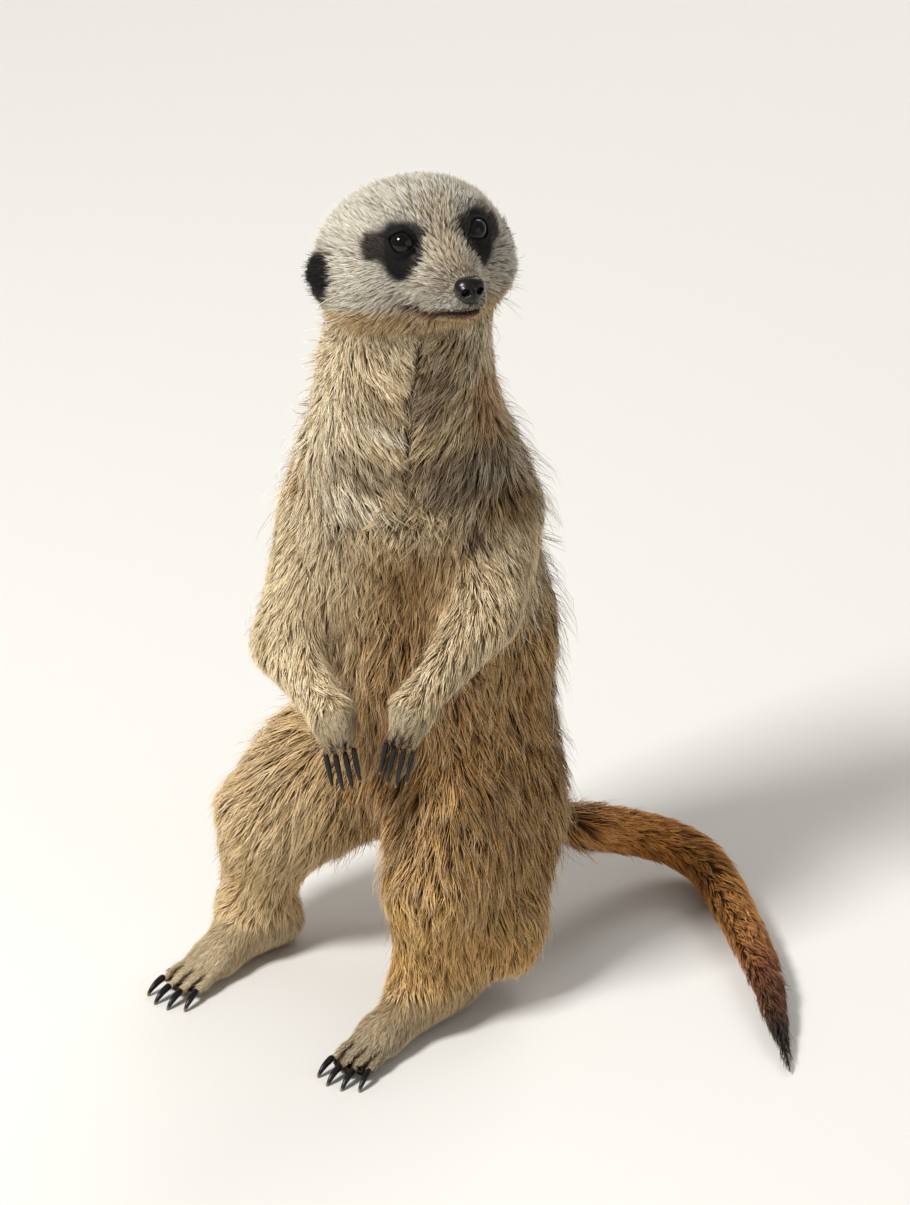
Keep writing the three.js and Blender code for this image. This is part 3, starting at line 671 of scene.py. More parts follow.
def ear_rings(face):
    """How far each point is into the ear's dark hollow, and into the whole ear, from 0 to 1."""
    ahead, up = EAR_MIDDLE
    outside = ease(20, 24, np.abs(face[:, 0]))
    hollow = np.hypot((face[:, 1] - ahead - 1.2) / 6.6, (face[:, 2] - up) / 7.6)
    whole = np.hypot((face[:, 1] - ahead) / 9.4, (face[:, 2] - up) / 10.4)
    return outside * (1 - ease(0.85, 1.15, hollow)), outside * (1 - ease(0.85, 1.1, whole))


def head_paint(points):
    face = in_head(points)
    side, ahead, up = face.T
    bridge = band(side, 0, 8) * ease(16, 30, ahead) * ease(-12, -2, up)
    from_mouth = up - mouth_line(ahead)
    along_mouth = ease(MOUTH_BACK - 1.5, MOUTH_BACK + 2, ahead)
    lip = 1.6 + 1.9 * band(ahead, MOUTH_BACK + 4, 5)
    ear_rim = mix(GREY_BROWN, ASH, 0.75 * ease(-6, 4, up))
    hollow, ear = ear_rings(face)
    return layered(
        CREAM,
        (ASH, 0.6 * ease(8, 20, up)),
        (TAN, 0.5 * bridge),
        (GREY_BROWN, 0.35 * band(ahead, 41, 5) * ease(-13, -6, up)),
        (mix(BUFF, FAWN, 0.5), 0.85 * ease(-12, -17, up)),
        (AMBER, 0.7 * band(from_mouth, -2.5, 2.2) * ease(30, 42, ahead)),
        (RUST * 0.55, 0.9 * (1 - ease(0.3, 1.0, np.abs(from_mouth) / lip)) * along_mouth),
        (SOOT_BROWN, mask(face)),
        (SOOT, mask(face, inner=True)),
        (ear_rim, 0.9 * ear),
        (SOOT, 0.97 * hollow),
    )


# %% [markdown]
# The chest is blotched: ashy and grey-brown patches alternate with cream where the hair parts over the
# bones below. Each row of this table is one soft blotch: its middle across the trunk and over the floor,
# its half sizes, its paint and how much of it shows. The last two rows are painted shade: dark notches in
# the armpits.

# %% Markings of the body
BLOTCHES = (
    (-13, 230, 8, 6, GREY_BROWN, 0.75),
    (-10, 222, 10, 4, CREAM, 0.9),
    (-17, 208, 12, 7, GREY_BROWN, 0.9),
    (-17, 196, 12, 5, CREAM, 0.8),
    (-38, 198, 6, 9, CLAY, 0.5),
    (-33, 236, 6, 7, CLAY, 0.5),
    (8, 236, 8, 17, GREY_BROWN, 0.75),
    (27, 226, 9, 16, CLAY, 0.7),
    (16, 206, 15, 10, GREY_BROWN, 0.8),
    (31, 192, 13, 9, AMBER * 0.7, 0.7),
    # Painted shade in the armpits.
    (-24, 184, 3, 6, UMBER, 0.9),
    (20, 184, 3, 6, UMBER, 0.7),
)
BAR_STEP = 12.5


def body_paint(points, normals, share):
    front, _ = facing(points)
    forward = dot(normals, front)
    across = across_trunk(points)
    height = points[:, 2]
    upper = share["neck"] + share["chest"]
    blotched = (upper + share["arm"]) * ease(-0.2, 0.4, forward)
    paint = sum(BASE_PAINT[region] * share[region][:, None] for region in REGIONS)
    sides = ease(10, 28, np.abs(across)) * upper
    paint = mix(paint, CREAM, 0.7 * sides * ease(-0.5, 0.1, forward))
    for middle, level, wide, high, colour, amount in BLOTCHES:
        out = np.hypot((across - middle) / wide, (height - level) / high) + 0.2 * ripple(points, 4, level)
        paint = mix(paint, colour, amount * (1 - ease(0.4, 1.3, out)) * blotched)
    deep = band(across, 3, 19) * ease(186, 172, height) * ease(0, 0.6, forward)
    paint = mix(paint, AMBER * 0.9, 0.8 * deep * (share["belly"] + share["chest"]))
    back = ease(0.1, -0.5, forward)
    paint = mix(paint, GREY_BROWN, 0.7 * back * (upper + share["belly"]))
    bars = ease(0.1, 0.8, np.sin(2 * math.pi * (height + 2 * ripple(points, 14, 3)) / BAR_STEP))
    bars *= ease(-0.2, -0.7, forward) * ease(50, 66, height) * ease(180, 150, height)
    paint = mix(paint, UMBER, 0.6 * bars * (share["belly"] + share["chest"]))
    # Painted shade: a dark line down the throat's parting, where the hair from both sides meets in the
    # crease.
    narrow = band(across, 0, 1.5 + 2.0 * ease(226, 200, height))
    parting = narrow * ease(PARTING_LOW, PARTING_LOW + 14, height)
    parting = parting * ease(PARTING_TOP + 8, PARTING_TOP - 1, height)
    fading = 1 - 0.5 * ease(226, 200, height)
    return mix(paint, UMBER, 0.95 * parting * ease(0, 0.4, forward) * fading * upper)


# %% [markdown]
# The legs carry a faint ripple, and the tail darkens along its length. The last function lays all markings
# over one another, paints the animal's right side paler and less grizzled, as painted light on that lit
# side, and keeps the brightest colours in bounds.

# %% Markings of the legs and tail, and all together
RIPPLE_STEP = 4.6
tail_way = way[share["tail"] > 0.5]
TAIL_FROM, TAIL_TO = float(np.percentile(tail_way, 1)), float(tail_way.max())


def limb_paint(paint, points, share, way):
    wave = np.sin(2 * math.pi * (way + 1.2 * ripple(points, 7, 8)) / RIPPLE_STEP)
    low_thigh = ease(62, 38, points[:, 2]) * share["thigh"]
    return layered(
        paint,
        (AMBER * 0.8, 0.4 * share["arm"] * ease(0.1, 1.0, wave)),
        (GOLD, 0.5 * low_thigh),
        (OCHRE, 0.35 * share["shank"] * ease(50, 22, points[:, 2])),
    )


def tail_paint(points, way):
    along = np.clip((way - TAIL_FROM) / (TAIL_TO - TAIL_FROM), 0, 1) + 0.02 * ripple(points, 6, 2)
    return layered(
        OCHRE,
        (AMBER, 0.4 * ease(0.2, 0.5, along)),
        (RUST, 0.9 * ease(0.45, 0.72, along)),
        (SOOT * 1.6, 0.85 * ease(0.7, 0.9, along)),
    )


WHORL_UP, WHORL_WIDE, WHORL_HIGH = 190.0, 10.5, 6.5


def whorl_share(points, normals):
    """How far each place is into the whorl that ends the parting, from 0 to 1."""
    front, _ = facing(points)
    out = np.hypot((across_trunk(points) - 1) / WHORL_WIDE, (points[:, 2] - WHORL_UP) / WHORL_HIGH)
    return (1 - ease(0.65, 1.1, out)) * ease(0, 0.4, dot(normals, front))


def markings(spots):
    """The coat's colour at each spot, how grizzled its hair is and how dark at the root, from 0 to 1."""
    points, normals, way = spots["place"], spots["up"], spots["way"]
    share = {region: spots["shares"][:, k] for k, region in enumerate(REGIONS)}
    wide = {region: spots["wide"][:, k] for k, region in enumerate(REGIONS)}
    # Painted light: the animal's right side, which faces the key lamp, is painted paler and less grizzled.
    painted_lit_side = ease(4, -24, across_trunk(points)) * (1 - 0.5 * wide["chest"] - 0.3 * wide["belly"])
    paint = limb_paint(body_paint(points, normals, wide), points, wide, way)
    paint = layered(
        paint,
        (SAND, 0.65 * painted_lit_side),
        (tail_paint(points, way), ease(0.03, 0.3, wide["tail"])),
        (head_paint(points), ease(0.3, 0.7, share["head"] + share["ear"])),
        # Painted shade: the slits between the fingers and toes are darkened.
        (UMBER, 0.9 * ease(0.1, 0.45, spots["between"])),
    )
    darkness = 1 - paint.mean(axis=1)
    paint = paint * (0.97 + 0.06 * ripple(points, 5, 21) * (darkness < 0.8))[:, None]
    paint = paint / np.maximum(paint.max(axis=1, keepdims=True) / BRIGHTEST, 1)
    pale = (darkness < 0.9) * (1 - 0.35 * painted_lit_side)
    whorl = whorl_share(points, normals)
    grizzle = np.maximum(spots["wide"] @ column("grizzle") * pale, whorl)
    dark = np.maximum(spots["wide"] @ column("dark") * pale, 0.95 * whorl)
    return np.maximum(paint, DARKEST), grizzle, dark


skin_spots = dict(place=points, up=normals, shares=shares, wide=wide_shares, way=way, between=digits)
skin_paint, _, skin_underfur_and_shade = markings(skin_spots)
print("tail runs from", round(TAIL_FROM), "to", round(TAIL_TO), "mm of the way")

# %% [markdown]
# ## Flattening the skin
# Each tuft needs a small patch of its own on a map. The skin is unwrapped by its own shape, and a tuft's
# patch lies where its root lies on that map.

# %% Unwrap the skin
bpy.context.view_layer.objects.active = skin
skin.select_set(True)
bpy.ops.object.mode_set(mode="EDIT")
bpy.ops.mesh.select_all(action="SELECT")
bpy.ops.uv.smart_project(angle_limit=math.radians(66), island_margin=0.002)
bpy.ops.object.mode_set(mode="OBJECT")
skin_mesh.uv_layers[0].name = "OFBake"
skin_mesh.calc_loop_triangles()
triangles = read(skin_mesh.loop_triangles, "vertices", 3, np.int32)
triangle_loops = read(skin_mesh.loop_triangles, "loops", 3, np.int32)
loop_map = read(skin_mesh.uv_layers["OFBake"].data, "uv", 2)
print("skin triangles:", len(triangles))

# %% [markdown]
# ## Roots
# Each small triangle of the skin gets its own fair number of roots, by its size and its region's density,
# so the coat has no holes and no heaps. Soles, nose and the edges of the lids get none.


# %% Scatter the roots
def corner_mix(values, chosen, weights):
    return np.einsum("nk,nk...->n...", weights, values[triangles[chosen]])


def scatter(density):
    """Random triangles and places in them, with density roots on a square millimetre."""
    a, b, c = (points[triangles[:, k]] for k in range(3))
    area = np.linalg.norm(np.cross(b - a, c - a), axis=1) / 2
    wanted = area * density[triangles].mean(axis=1)
    number = np.floor(wanted + rng.random(len(wanted))).astype(int)
    chosen = np.repeat(np.arange(len(triangles)), number)
    weights = rng.dirichlet((1, 1, 1), len(chosen))
    return chosen, weights


def roots_at(chosen, weights):
    """All that a tuft needs to know about the place where it stands."""
    return dict(
        place=corner_mix(points, chosen, weights),
        up=unit(corner_mix(normals, chosen, weights)),
        lie=unit(corner_mix(lie, chosen, weights)),
        shares=corner_mix(shares, chosen, weights),
        wide=corner_mix(wide_shares, chosen, weights),
        way=corner_mix(way, chosen, weights),
        between=corner_mix(digits, chosen, weights),
        short=corner_mix(short_coat * trim, chosen, weights),
        patch=np.einsum("nk,nkd->nd", weights, loop_map[triangle_loops[chosen]]),
    )


normals = normals_of(skin_mesh)
SOLE, NOSE_BARE = 2.2, 4.3
LID_BARE, EYE_NEAR = 1.12, 10
bare = (points[:, 2] < SOLE) & (normals[:, 2] < -0.6)
bare |= np.linalg.norm(points - nose_tip, axis=1) < NOSE_BARE
for _, centre, side in EYES:
    around = points - centre
    far = np.linalg.norm(around, axis=1)
    bare |= (opening(around / far[:, None], side) < LID_BARE) & (far < EYE_NEAR)
density = shares @ column("density") * (1 + 0.8 * (1 - short_coat)) * ~bare
roots = roots_at(*scatter(density))
print("tufts:", len(roots["place"]))

# %% [markdown]
# ## A tuft
# A tuft is a thin, three-sided spike that is closed all round. It leaves the skin at a slant, bends over
# and ends in a point, and its middle line follows the skin below it, so that long tufts neither sink into a
# hollow nor stand off a bulge. Neighbours lean towards a shared leader, which gives the coat soft locks
# that are longer than they are wide.


# %% Middle lines of the tufts
skin_tree = BVHTree.FromObject(skin, bpy.context.evaluated_depsgraph_get())
FOLLOW = 0.75


def laid_on_skin(places, heights):
    """Moves places to the given heights over the skin's nearest points."""
    laid = places.copy()
    for k, (place, height) in enumerate(zip(places * MM, heights)):
        spot, up, _, _ = skin_tree.find_nearest(Vector(place))
        laid[k] = np.array(spot) / MM + np.array(up) * height
    return laid


def middle_lines(root, length, height, stops, swing):
    """The points of each tuft's middle line at the stops, which run from 0 at the root to 1 at the tip."""
    across = np.cross(root["up"], root["lie"])
    lines = [root["place"] - root["up"] * 0.3]
    for stop in stops[1:]:
        rise = height * stop * (1.9 - 0.9 * stop)
        free = root["place"] + root["lie"] * (length * stop)[:, None]
        free = free + across * (length * swing * stop ** 1.5)[:, None]
        laid = laid_on_skin(free, rise)
        lines.append(mix(free + root["up"] * rise[:, None], laid, FOLLOW))
    return np.stack(lines, axis=1)


LOCK_LONG = 0.8


def locks_of(root, per_lock):
    """For each tuft, the leader of its lock, which is sought further off along the lie than beside it."""
    place, number = root["place"], len(root["place"])
    leaders = rng.choice(number, max(1, number // per_lock), replace=False)
    tree = KDTree(len(leaders))
    for k, leader in enumerate(leaders):
        tree.insert(place[leader], k)
    tree.balance()
    found = [[k for _, k, _ in tree.find_n(spot, 5)] for spot in place]
    near = leaders[np.array(found)]
    gap = place[near] - place[:, None]
    along = np.einsum("nkd,nd->nk", gap, root["lie"])
    best = ((gap ** 2).sum(axis=2) - LOCK_LONG * along ** 2).argmin(axis=1)
    return near[np.arange(number), best]


def gathered(lines, stops, lock, pull):
    """Draws the outer part of each tuft towards the leader of its lock."""
    lean = (lines[lock] - lines) * (np.array(stops) ** 1.6)[None, :, None]
    return lines + lean * pull


# %% [markdown]
# A spike has rings of three points, closed by one triangle at the root and by a point at the tip. All
# spikes of a piece are built at once as arrays, with a colour at each point and a small patch of the map
# for each spike.

# %% Solid tufts around the middle lines
PATCH = 0.003


def spikes(lines, up, half_width, rings):
    """Vertices, the way each faces, and triangles of closed, three-sided spikes with rings and a tip."""
    number, stops, _ = lines.shape
    direction = unit(np.gradient(lines, axis=1))
    across = unit(np.cross(direction, up[:, None, :]))
    over = np.cross(across, direction)
    half = half_width[:, None, None] * np.array(rings)[None, :, None]
    body = lines[:, :-1]
    sides = [body + across[:, :-1] * half, body + over[:, :-1] * half * 0.8, body - across[:, :-1] * half]
    ring_points = np.stack(sides, axis=2).reshape(number, -1, 3)
    vertices = np.concatenate([ring_points, lines[:, -1:]], axis=1)
    sides = np.stack([across[:, :-1], over[:, :-1], -across[:, :-1]], axis=2).reshape(number, -1, 3)
    outward = np.concatenate([sides, direction[:, -1:]], axis=1)
    tris = [(0, 1, 2)]
    for ring in range(stops - 2):
        for k in range(3):
            a, b = 3 * ring + k, 3 * ring + (k + 1) % 3
            tris += [(a, b + 3, b), (a, a + 3, b + 3)]
    last = 3 * (stops - 2)
    tris += [(last + (k + 1) % 3, last + k, last + 3) for k in range(3)]
    offsets = np.arange(number)[:, None, None] * vertices.shape[1]
    return vertices, outward, (np.array(tris)[None] + offsets).reshape(-1, 3)


def solid_mesh(name, vertices, tris):
    mesh = bpy.data.meshes.new(name)
    mesh.vertices.add(len(vertices))
    mesh.vertices.foreach_set("co", (vertices * MM).astype(np.float32).ravel())
    mesh.loops.add(tris.size)
    mesh.loops.foreach_set("vertex_index", tris.astype(np.int32).ravel())
    mesh.polygons.add(len(tris))
    mesh.polygons.foreach_set("loop_start", np.arange(0, tris.size, 3, dtype=np.int32))
    mesh.update(calc_edges=True)
    mesh.polygons.foreach_set("use_smooth", np.ones(len(tris), bool))
    return mesh


def add_colours(mesh, colours):
    layer = mesh.color_attributes.new("paint", "FLOAT_COLOR", "POINT")
    full = np.concatenate([linear(colours), np.ones((len(colours), 1))], axis=1)
    layer.data.foreach_set("color", full.astype(np.float32).ravel())


def add_patches(mesh, tris, patch, stops):
    """Maps each tuft to a small square at its root's place: its round goes across, its length goes up."""
    rings = len(stops) - 1
    across = np.append(np.tile([0.0, 0.5, 1.0], rings), 0.5) - 0.5
    along = np.append(np.repeat(stops[:-1], 3), 1.0) - 0.5
    spot = patch[:, None, :] + np.stack([across, along], axis=1)[None] * PATCH
    layer = mesh.uv_layers.new(name="OFBake")
    layer.data.foreach_set("uv", spot.reshape(-1, 2)[tris.ravel()].astype(np.float32).ravel())


# %% [markdown]
# ## Colour along a hair
# A meerkat's guard hair is dark at the root, banded dark and pale further out, and often ends in a cream
# tip. A tuft takes the coat's colour at its root and is shaded along its length: darker at the root and,
# where the hair is grizzled, paler towards a cream tip. Shade is warm, as light that passes through hair
# comes out golden. A few tufts are dark all along, which gives the salt-and-pepper look.


# %% Shade the tufts along their length
# Painted light: darker colours along a tuft, and the dark tufts, are tinted warmer, for light that passes
# through hair and comes out golden.
WARMTH = np.array([1.0, 1.2, 1.55])
DARK_TUFTS = 0.22


def shaded(paint, grizzle, dark, stops, lock):
    """Colours at the stops of each tuft, brought down as a whole where they would be too bright."""
    number = len(paint)
    stop = np.array(stops)[None, :, None]
    tone = 1.12 + (0.05 + 0.1 * dark) * (0.8 * rng.normal(0, 1, number)[lock] + rng.normal(0, 1, number))
    shade = tone[:, None, None] * (1 - dark[:, None, None] * (1 - ease(0.08, 0.7, stop)))
    colour = paint[:, None, :] * np.maximum(shade, 0.05) ** WARMTH
    ticked = (grizzle * rng.uniform(0.1, 1.2, number))[:, None, None]
    pale_tip = mix(paint, CREAM, 0.75)[:, None, :]
    colour = colour + (pale_tip - colour) * np.clip(ticked * ease(0.35, 0.95, stop), 0, 1)
    colour[rng.random(number) < DARK_TUFTS * grizzle] *= 0.42 ** WARMTH
    too_bright = np.maximum(colour.max(axis=2, keepdims=True) / BRIGHTEST, 1)
    return np.maximum(colour / too_bright, 0.015)


# %% [markdown]
# ## The coat, piece by piece
# The coat is grown region by region, left and right apart, which keeps every piece small enough to work
# with. Short hair on the face and paws is straight, the rest of the dense coat has one bend in a tuft, and
# the few long guard hairs later have two. A hair is lit softly because light also passes along and through
# it, so a tuft's shading normals lean towards the skin's.

# %% Grow the coat
SHORT = ((0.0, 1.0), (1.0,))
MIDDLING = ((0.0, 0.5, 1.0), (0.8, 0.9))
LONG = ((0.0, 0.35, 0.7, 1.0), (0.7, 1.0, 0.7))
FLOOR_GAP = 0.1
SOFT_LIGHT = 0.55


def grow(name, root, cut=MIDDLING, stand=1.0, longer=1.0, thinner=1.0, pull=0.4, per_lock=8, paint=None):
    """Makes one object with a tuft on every root, and gives it colour, patches and soft normals."""
    number = len(root["place"])
    stops, rings = cut
    base = root["wide"] @ column("length") * root["short"] * longer
    lock = locks_of(root, per_lock)
    length = base * rng.uniform(0.75, 1.2, number)
    height = root["shares"] @ column("depth") * root["short"] * stand * rng.uniform(0.6, 1.1, number)
    height *= rng.uniform(0.6, 1.05, number)[lock]
    swing = rng.normal(0, 0.13, number) + rng.normal(0, 0.16, number)[lock]
    lines = gathered(middle_lines(root, length, height, stops, swing), stops, lock, pull)
    half = root["shares"] @ column("width") / 2 * root["short"] ** 0.5 * thinner
    half = half * rng.uniform(0.75, 1.25, number)
    vertices, outward, tris = spikes(lines, root["up"], half, rings)
    vertices[..., 2] = np.maximum(vertices[..., 2], FLOOR_GAP)
    mesh = solid_mesh(name, vertices.reshape(-1, 3), tris)
    soft = unit(mix(outward, root["up"][:, None, :], SOFT_LIGHT))
    mesh.normals_split_custom_set_from_vertices(soft.reshape(-1, 3))
    own_paint, grizzle, dark = markings(root)
    colours = shaded(own_paint if paint is None else np.tile(paint, (number, 1)), grizzle, dark, stops, lock)
    corners = np.concatenate([np.repeat(colours[:, :-1], 3, axis=1), colours[:, -1:]], axis=1)
    add_colours(mesh, corners.reshape(-1, 3))
    add_patches(mesh, tris, root["patch"], stops)
    return mesh_object(name, mesh)


def part_of(roots, chosen):
    return {key: values[chosen] for key, values in roots.items()}


coat = {}
main_region = roots["shares"].argmax(axis=1)
on_left = across_trunk(roots["place"]) > 0
for k, (region, row) in enumerate(REGIONS.items()):
    for side, chosen in (("left", on_left), ("right", ~on_left)):
        here = part_of(roots, (main_region == k) & chosen)
        name = f"coat_{region}_{side}"
        if len(here["place"]):
            cut = SHORT if region in SHORT_HAIRED else MIDDLING
            coat[name] = grow(name, here, cut=cut, pull=row["pull"])
sizes = {name: len(piece.data.polygons) for name, piece in coat.items()}
print("coat triangles:", sum(sizes.values()), "largest piece:", max(sizes.values()), sizes)

# %% [markdown]
# ## Guard hairs
# Over the dense coat stand a few longer, thinner hairs. They are densest round the ears and on the neck,
# chest and thighs, and make the outline soft and uneven.

# %% Scatter the guard hairs
shaggy = shares @ column("shaggy") * ~bare * ease(0.7, 1.0, short_coat)
guard_roots = roots_at(*scatter(shaggy))
coat["guard_hairs"] = grow("guard_hairs", guard_roots, LONG, stand=1.75, longer=1.35, thinner=0.5, pull=0.15)
print("guard hairs:", len(guard_roots["place"]))

# %% [markdown]
# ## Bristles on the shoulders and the whorl on the chest
# Two places in the coat stand out from the rest. Long pale bristles, a few together, stick out from the
# cheeks, the sides of the neck, the shoulders and the arms. And where the parting ends, low on the chest,
# the hair runs out in a whorl of short pointed locks with dark gaps between them.

# %% Grow the bristles and the whorl
sideways = ease(0.35, -0.25, dot(normals, front)) * ease(-0.95, -0.5, dot(normals, front))
face = in_head(points)
ruff = share["head"] * ease(-4, -12, face[:, 2]) * ease(14, 2, face[:, 1])
bristly = ruff + sideways * (0.7 * share["neck"] + share["chest"] + share["arm"] + 0.5 * share["belly"])
bristle_roots = roots_at(*scatter(0.07 * bristly * ease(110, 130, height)))
coat["bristles"] = grow("bristles", bristle_roots, LONG, stand=2.7, longer=1.7, thinner=0.8, pull=0.6,
                        per_lock=4, paint=CREAM)

whorl_roots = roots_at(*scatter(1.5 * whorl_share(points, normals)))
outwards = whorl_roots["place"] - whorl_roots["place"].mean(axis=0)
whorl_roots["lie"] = along_skin(0.8 * unit(outwards) + HANG, whorl_roots["up"])
coat["whorl"] = grow("whorl", whorl_roots, LONG, stand=1.5, longer=0.55, thinner=1.1, pull=0.8, per_lock=7)
print("bristles:", len(bristle_roots["place"]), "whorl tufts:", len(whorl_roots["place"]))

# %% [markdown]
# ## Whiskers
# A few stiff hairs grow from the upper lip, each from its own place. They are long, thin spikes that sweep
# back and down a little.

# %% Plant the whiskers
WHISKER_ROWS, WHISKERS_IN_ROW = 3, 4
whisker_stops = (0.0, 0.3, 0.6, 0.85, 1.0)


def whisker(row, place, side):
    start = from_head((side * (5.2 + 0.9 * place), 42 - 3.2 * place, -6.5 - 2.0 * row))
    spot, up, _, _ = skin_tree.find_nearest(Vector(start * MM))
    out = unit(np.array(up) + 0.5 * SIDE * side - AHEAD * (0.25 + 0.15 * place) - UP * 0.18 * row)
    length = 13 + 3.0 * place + rng.uniform(-1.5, 1.5)
    sag = -AHEAD * 0.25 - UP * 0.3
    return [np.array(spot) / MM + out * length * s + sag * length * s * s for s in whisker_stops]


whisker_lines = np.array([whisker(row, place, side) for side in (1, -1)
                          for row in range(WHISKER_ROWS) for place in range(WHISKERS_IN_ROW)])
whisker_up = np.tile(UP, (len(whisker_lines), 1))
WHISKER_RINGS = (1.0, 0.85, 0.65, 0.4)
whisker_half = np.full(len(whisker_lines), 0.14)
vertices, _, tris = spikes(whisker_lines, whisker_up, whisker_half, WHISKER_RINGS)
whiskers = mesh_object("whiskers", solid_mesh("whiskers", vertices.reshape(-1, 3), tris))
print("whiskers:", len(whisker_lines))

# %% [markdown]
# ## Eyes
# The eye is a ball with a slightly bulging front. Colour runs with the angle from the gaze: a black
# pupil, a narrow, very dark brown iris and a black edge.


# %% Eyeballs
def ball(name, centre, radius, cuts=5):
    shape = bmesh.new()
    bmesh.ops.create_icosphere(shape, subdivisions=cuts, radius=1.0)
    mesh = bpy.data.meshes.new(name)
    shape.to_mesh(mesh)
    shape.free()
    mesh.polygons.foreach_set("use_smooth", np.ones(len(mesh.polygons), bool))
    directions = points_of(mesh) * MM
    move_points(mesh, centre + directions * radius)
    return mesh_object(name, mesh), directions


BULGE = 0.35
PUPIL_EDGE, IRIS_EDGE = 19, 44


def eyeball(side_name, centre, side):
    eye, directions = ball(f"eyeball_{side_name}", centre, EYE_RADIUS)
    gaze, _, _ = eye_axes(side)
    angle = np.degrees(np.arccos(np.clip(directions @ gaze, -1, 1)))
    bulge = BULGE * ease(IRIS_EDGE, 0, angle)
    move_points(eye.data, centre + directions * (EYE_RADIUS + bulge)[:, None])
    iris = window(PUPIL_EDGE, PUPIL_EDGE + 3, IRIS_EDGE - 8, IRIS_EDGE, angle)
    add_colours(eye.data, mix(SOOT * 0.25, UMBER * 0.3, iris))
    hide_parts(f"eye_{side_name}")
    return eye


eyes = [eyeball(*eye) for eye in EYES]


# %% [markdown]
# A thin, wet, black rim lies along the opening of the lids. It is a closed tube swept along the same almond
# as the lids are shaped with, so the two always fit.

# %% Rims of the lids
RIM = 0.42
RIM_ROUND, RIM_SIDES = 56, 10


def rim(side_name, centre, side):
    """A closed tube along the edge of the opening, just proud of the ball."""
    gaze, length, height = eye_axes(side)
    turn = np.linspace(0, 2 * math.pi, RIM_ROUND, endpoint=False)
    power = 2 / ALMOND
    along = np.sign(np.cos(turn)) * np.abs(np.cos(turn)) ** power * OPEN_WIDE
    over = np.sign(np.sin(turn)) * np.abs(np.sin(turn)) ** power * OPEN_HIGH
    out = unit(gaze + np.outer(np.tan(along), length) + np.outer(np.tan(over), height))
    path = centre + out * (EYE_RADIUS + 0.3)
    forward = unit(np.roll(path, -1, axis=0) - np.roll(path, 1, axis=0))
    sideways = np.cross(forward, out)
    spin = np.linspace(0, 2 * math.pi, RIM_SIDES, endpoint=False)
    circle = np.cos(spin)[None, :, None] * out[:, None] + np.sin(spin)[None, :, None] * sideways[:, None]
    vertices = (path[:, None] + circle * RIM).reshape(-1, 3)
    tris = []
    for k in range(RIM_ROUND):
        for j in range(RIM_SIDES):
            a, b = k * RIM_SIDES + j, k * RIM_SIDES + (j + 1) % RIM_SIDES
            c, d = (a + RIM_SIDES) % len(vertices), (b + RIM_SIDES) % len(vertices)
            tris += [(a, b, c), (b, d, c)]
    return mesh_object(f"lid_rim_{side_name}", solid_mesh(f"lid_rim_{side_name}", vertices, np.array(tris)))


rims = [rim(*eye) for eye in EYES]
print("eyes and rims:", [piece.name for piece in eyes + rims])

# %% [markdown]
# ## Nose
# The nose pad is bare, moist skin. It starts as a ball stretched to the size of its solid. Two comma-shaped
# nostrils and a shallow groove down the middle are pressed into it with smooth functions. The skin behind
# it moves back out of its way.

# %% Shape the nose pad
NOSE_SIZE = np.array([5.1, 4.1, 4.7])
TOP_FLAT, FRONT_FLAT = 2.4, 3.4
NOSTRIL_DEEP, SLIT_DEEP, MIDDLE_DEEP = 2.2, 1.0, 0.6
MAKE_ROOM = 3.4


def nose_shape(directions):
    """Places on the pad, in the head's directions, for directions from its middle."""
    side, ahead, up = directions.T
    rounded = directions * NOSE_SIZE
    rounded[:, 0] *= 1 + 0.16 * up
    rounded[:, 2] = np.minimum(rounded[:, 2], TOP_FLAT + 0.4 * rounded[:, 2])
    flattened = np.minimum(rounded[:, 1], FRONT_FLAT + 0.25 * rounded[:, 1])
    rounded[:, 1] = np.where(ahead > 0, flattened, rounded[:, 1])
    nostril = np.hypot((np.abs(rounded[:, 0]) - 2.3) / 1.15, (rounded[:, 2] + 0.2) / 0.95)
    slit = np.hypot((np.abs(rounded[:, 0]) - 3.6) / 1.5, (rounded[:, 2] + 1.1) / 0.5)
    front = ease(0.1, 0.5, ahead)
    rounded[:, 1] -= NOSTRIL_DEEP * np.exp(-nostril ** 4) * front + SLIT_DEEP * np.exp(-slit ** 4) * front
    rounded[:, 1] -= MIDDLE_DEEP * band(rounded[:, 0], 0, 0.35) * ease(0.5, -0.3, up) * front
    rounded[:, 1] += 0.35 * band(nostril, 1.5, 0.4) * front
    return rounded


in_nose = np.linalg.norm((in_head(points) - in_head(nose_tip)) / NOSE_SIZE, axis=1)
points = points - AHEAD * (MAKE_ROOM * ease(1.05, 0.8, in_nose))[:, None]
move_points(skin_mesh, points)
nose, directions = ball("nose_pad", nose_tip, 1.0, cuts=6)
move_points(nose.data, nose_tip + nose_shape(directions) @ HEAD_AXES.T)
nose.data.flip_normals()
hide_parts("nose")
print("nose pad vertices:", len(nose.data.vertices))

# %% [markdown]
# ## Claws
# Each claw solid is a faceted horn. Subdivision rounds it and wears it thinner, which is given back, and a
# colour along its length, from its root in the fur to its worn tip, is stored on its points for the
# material.


# %% Round the claws
ROUNDING_LOSS, CLAW_GAP = 0.28, 0.02
DARK_HORN = np.array([0.07, 0.07, 0.075])


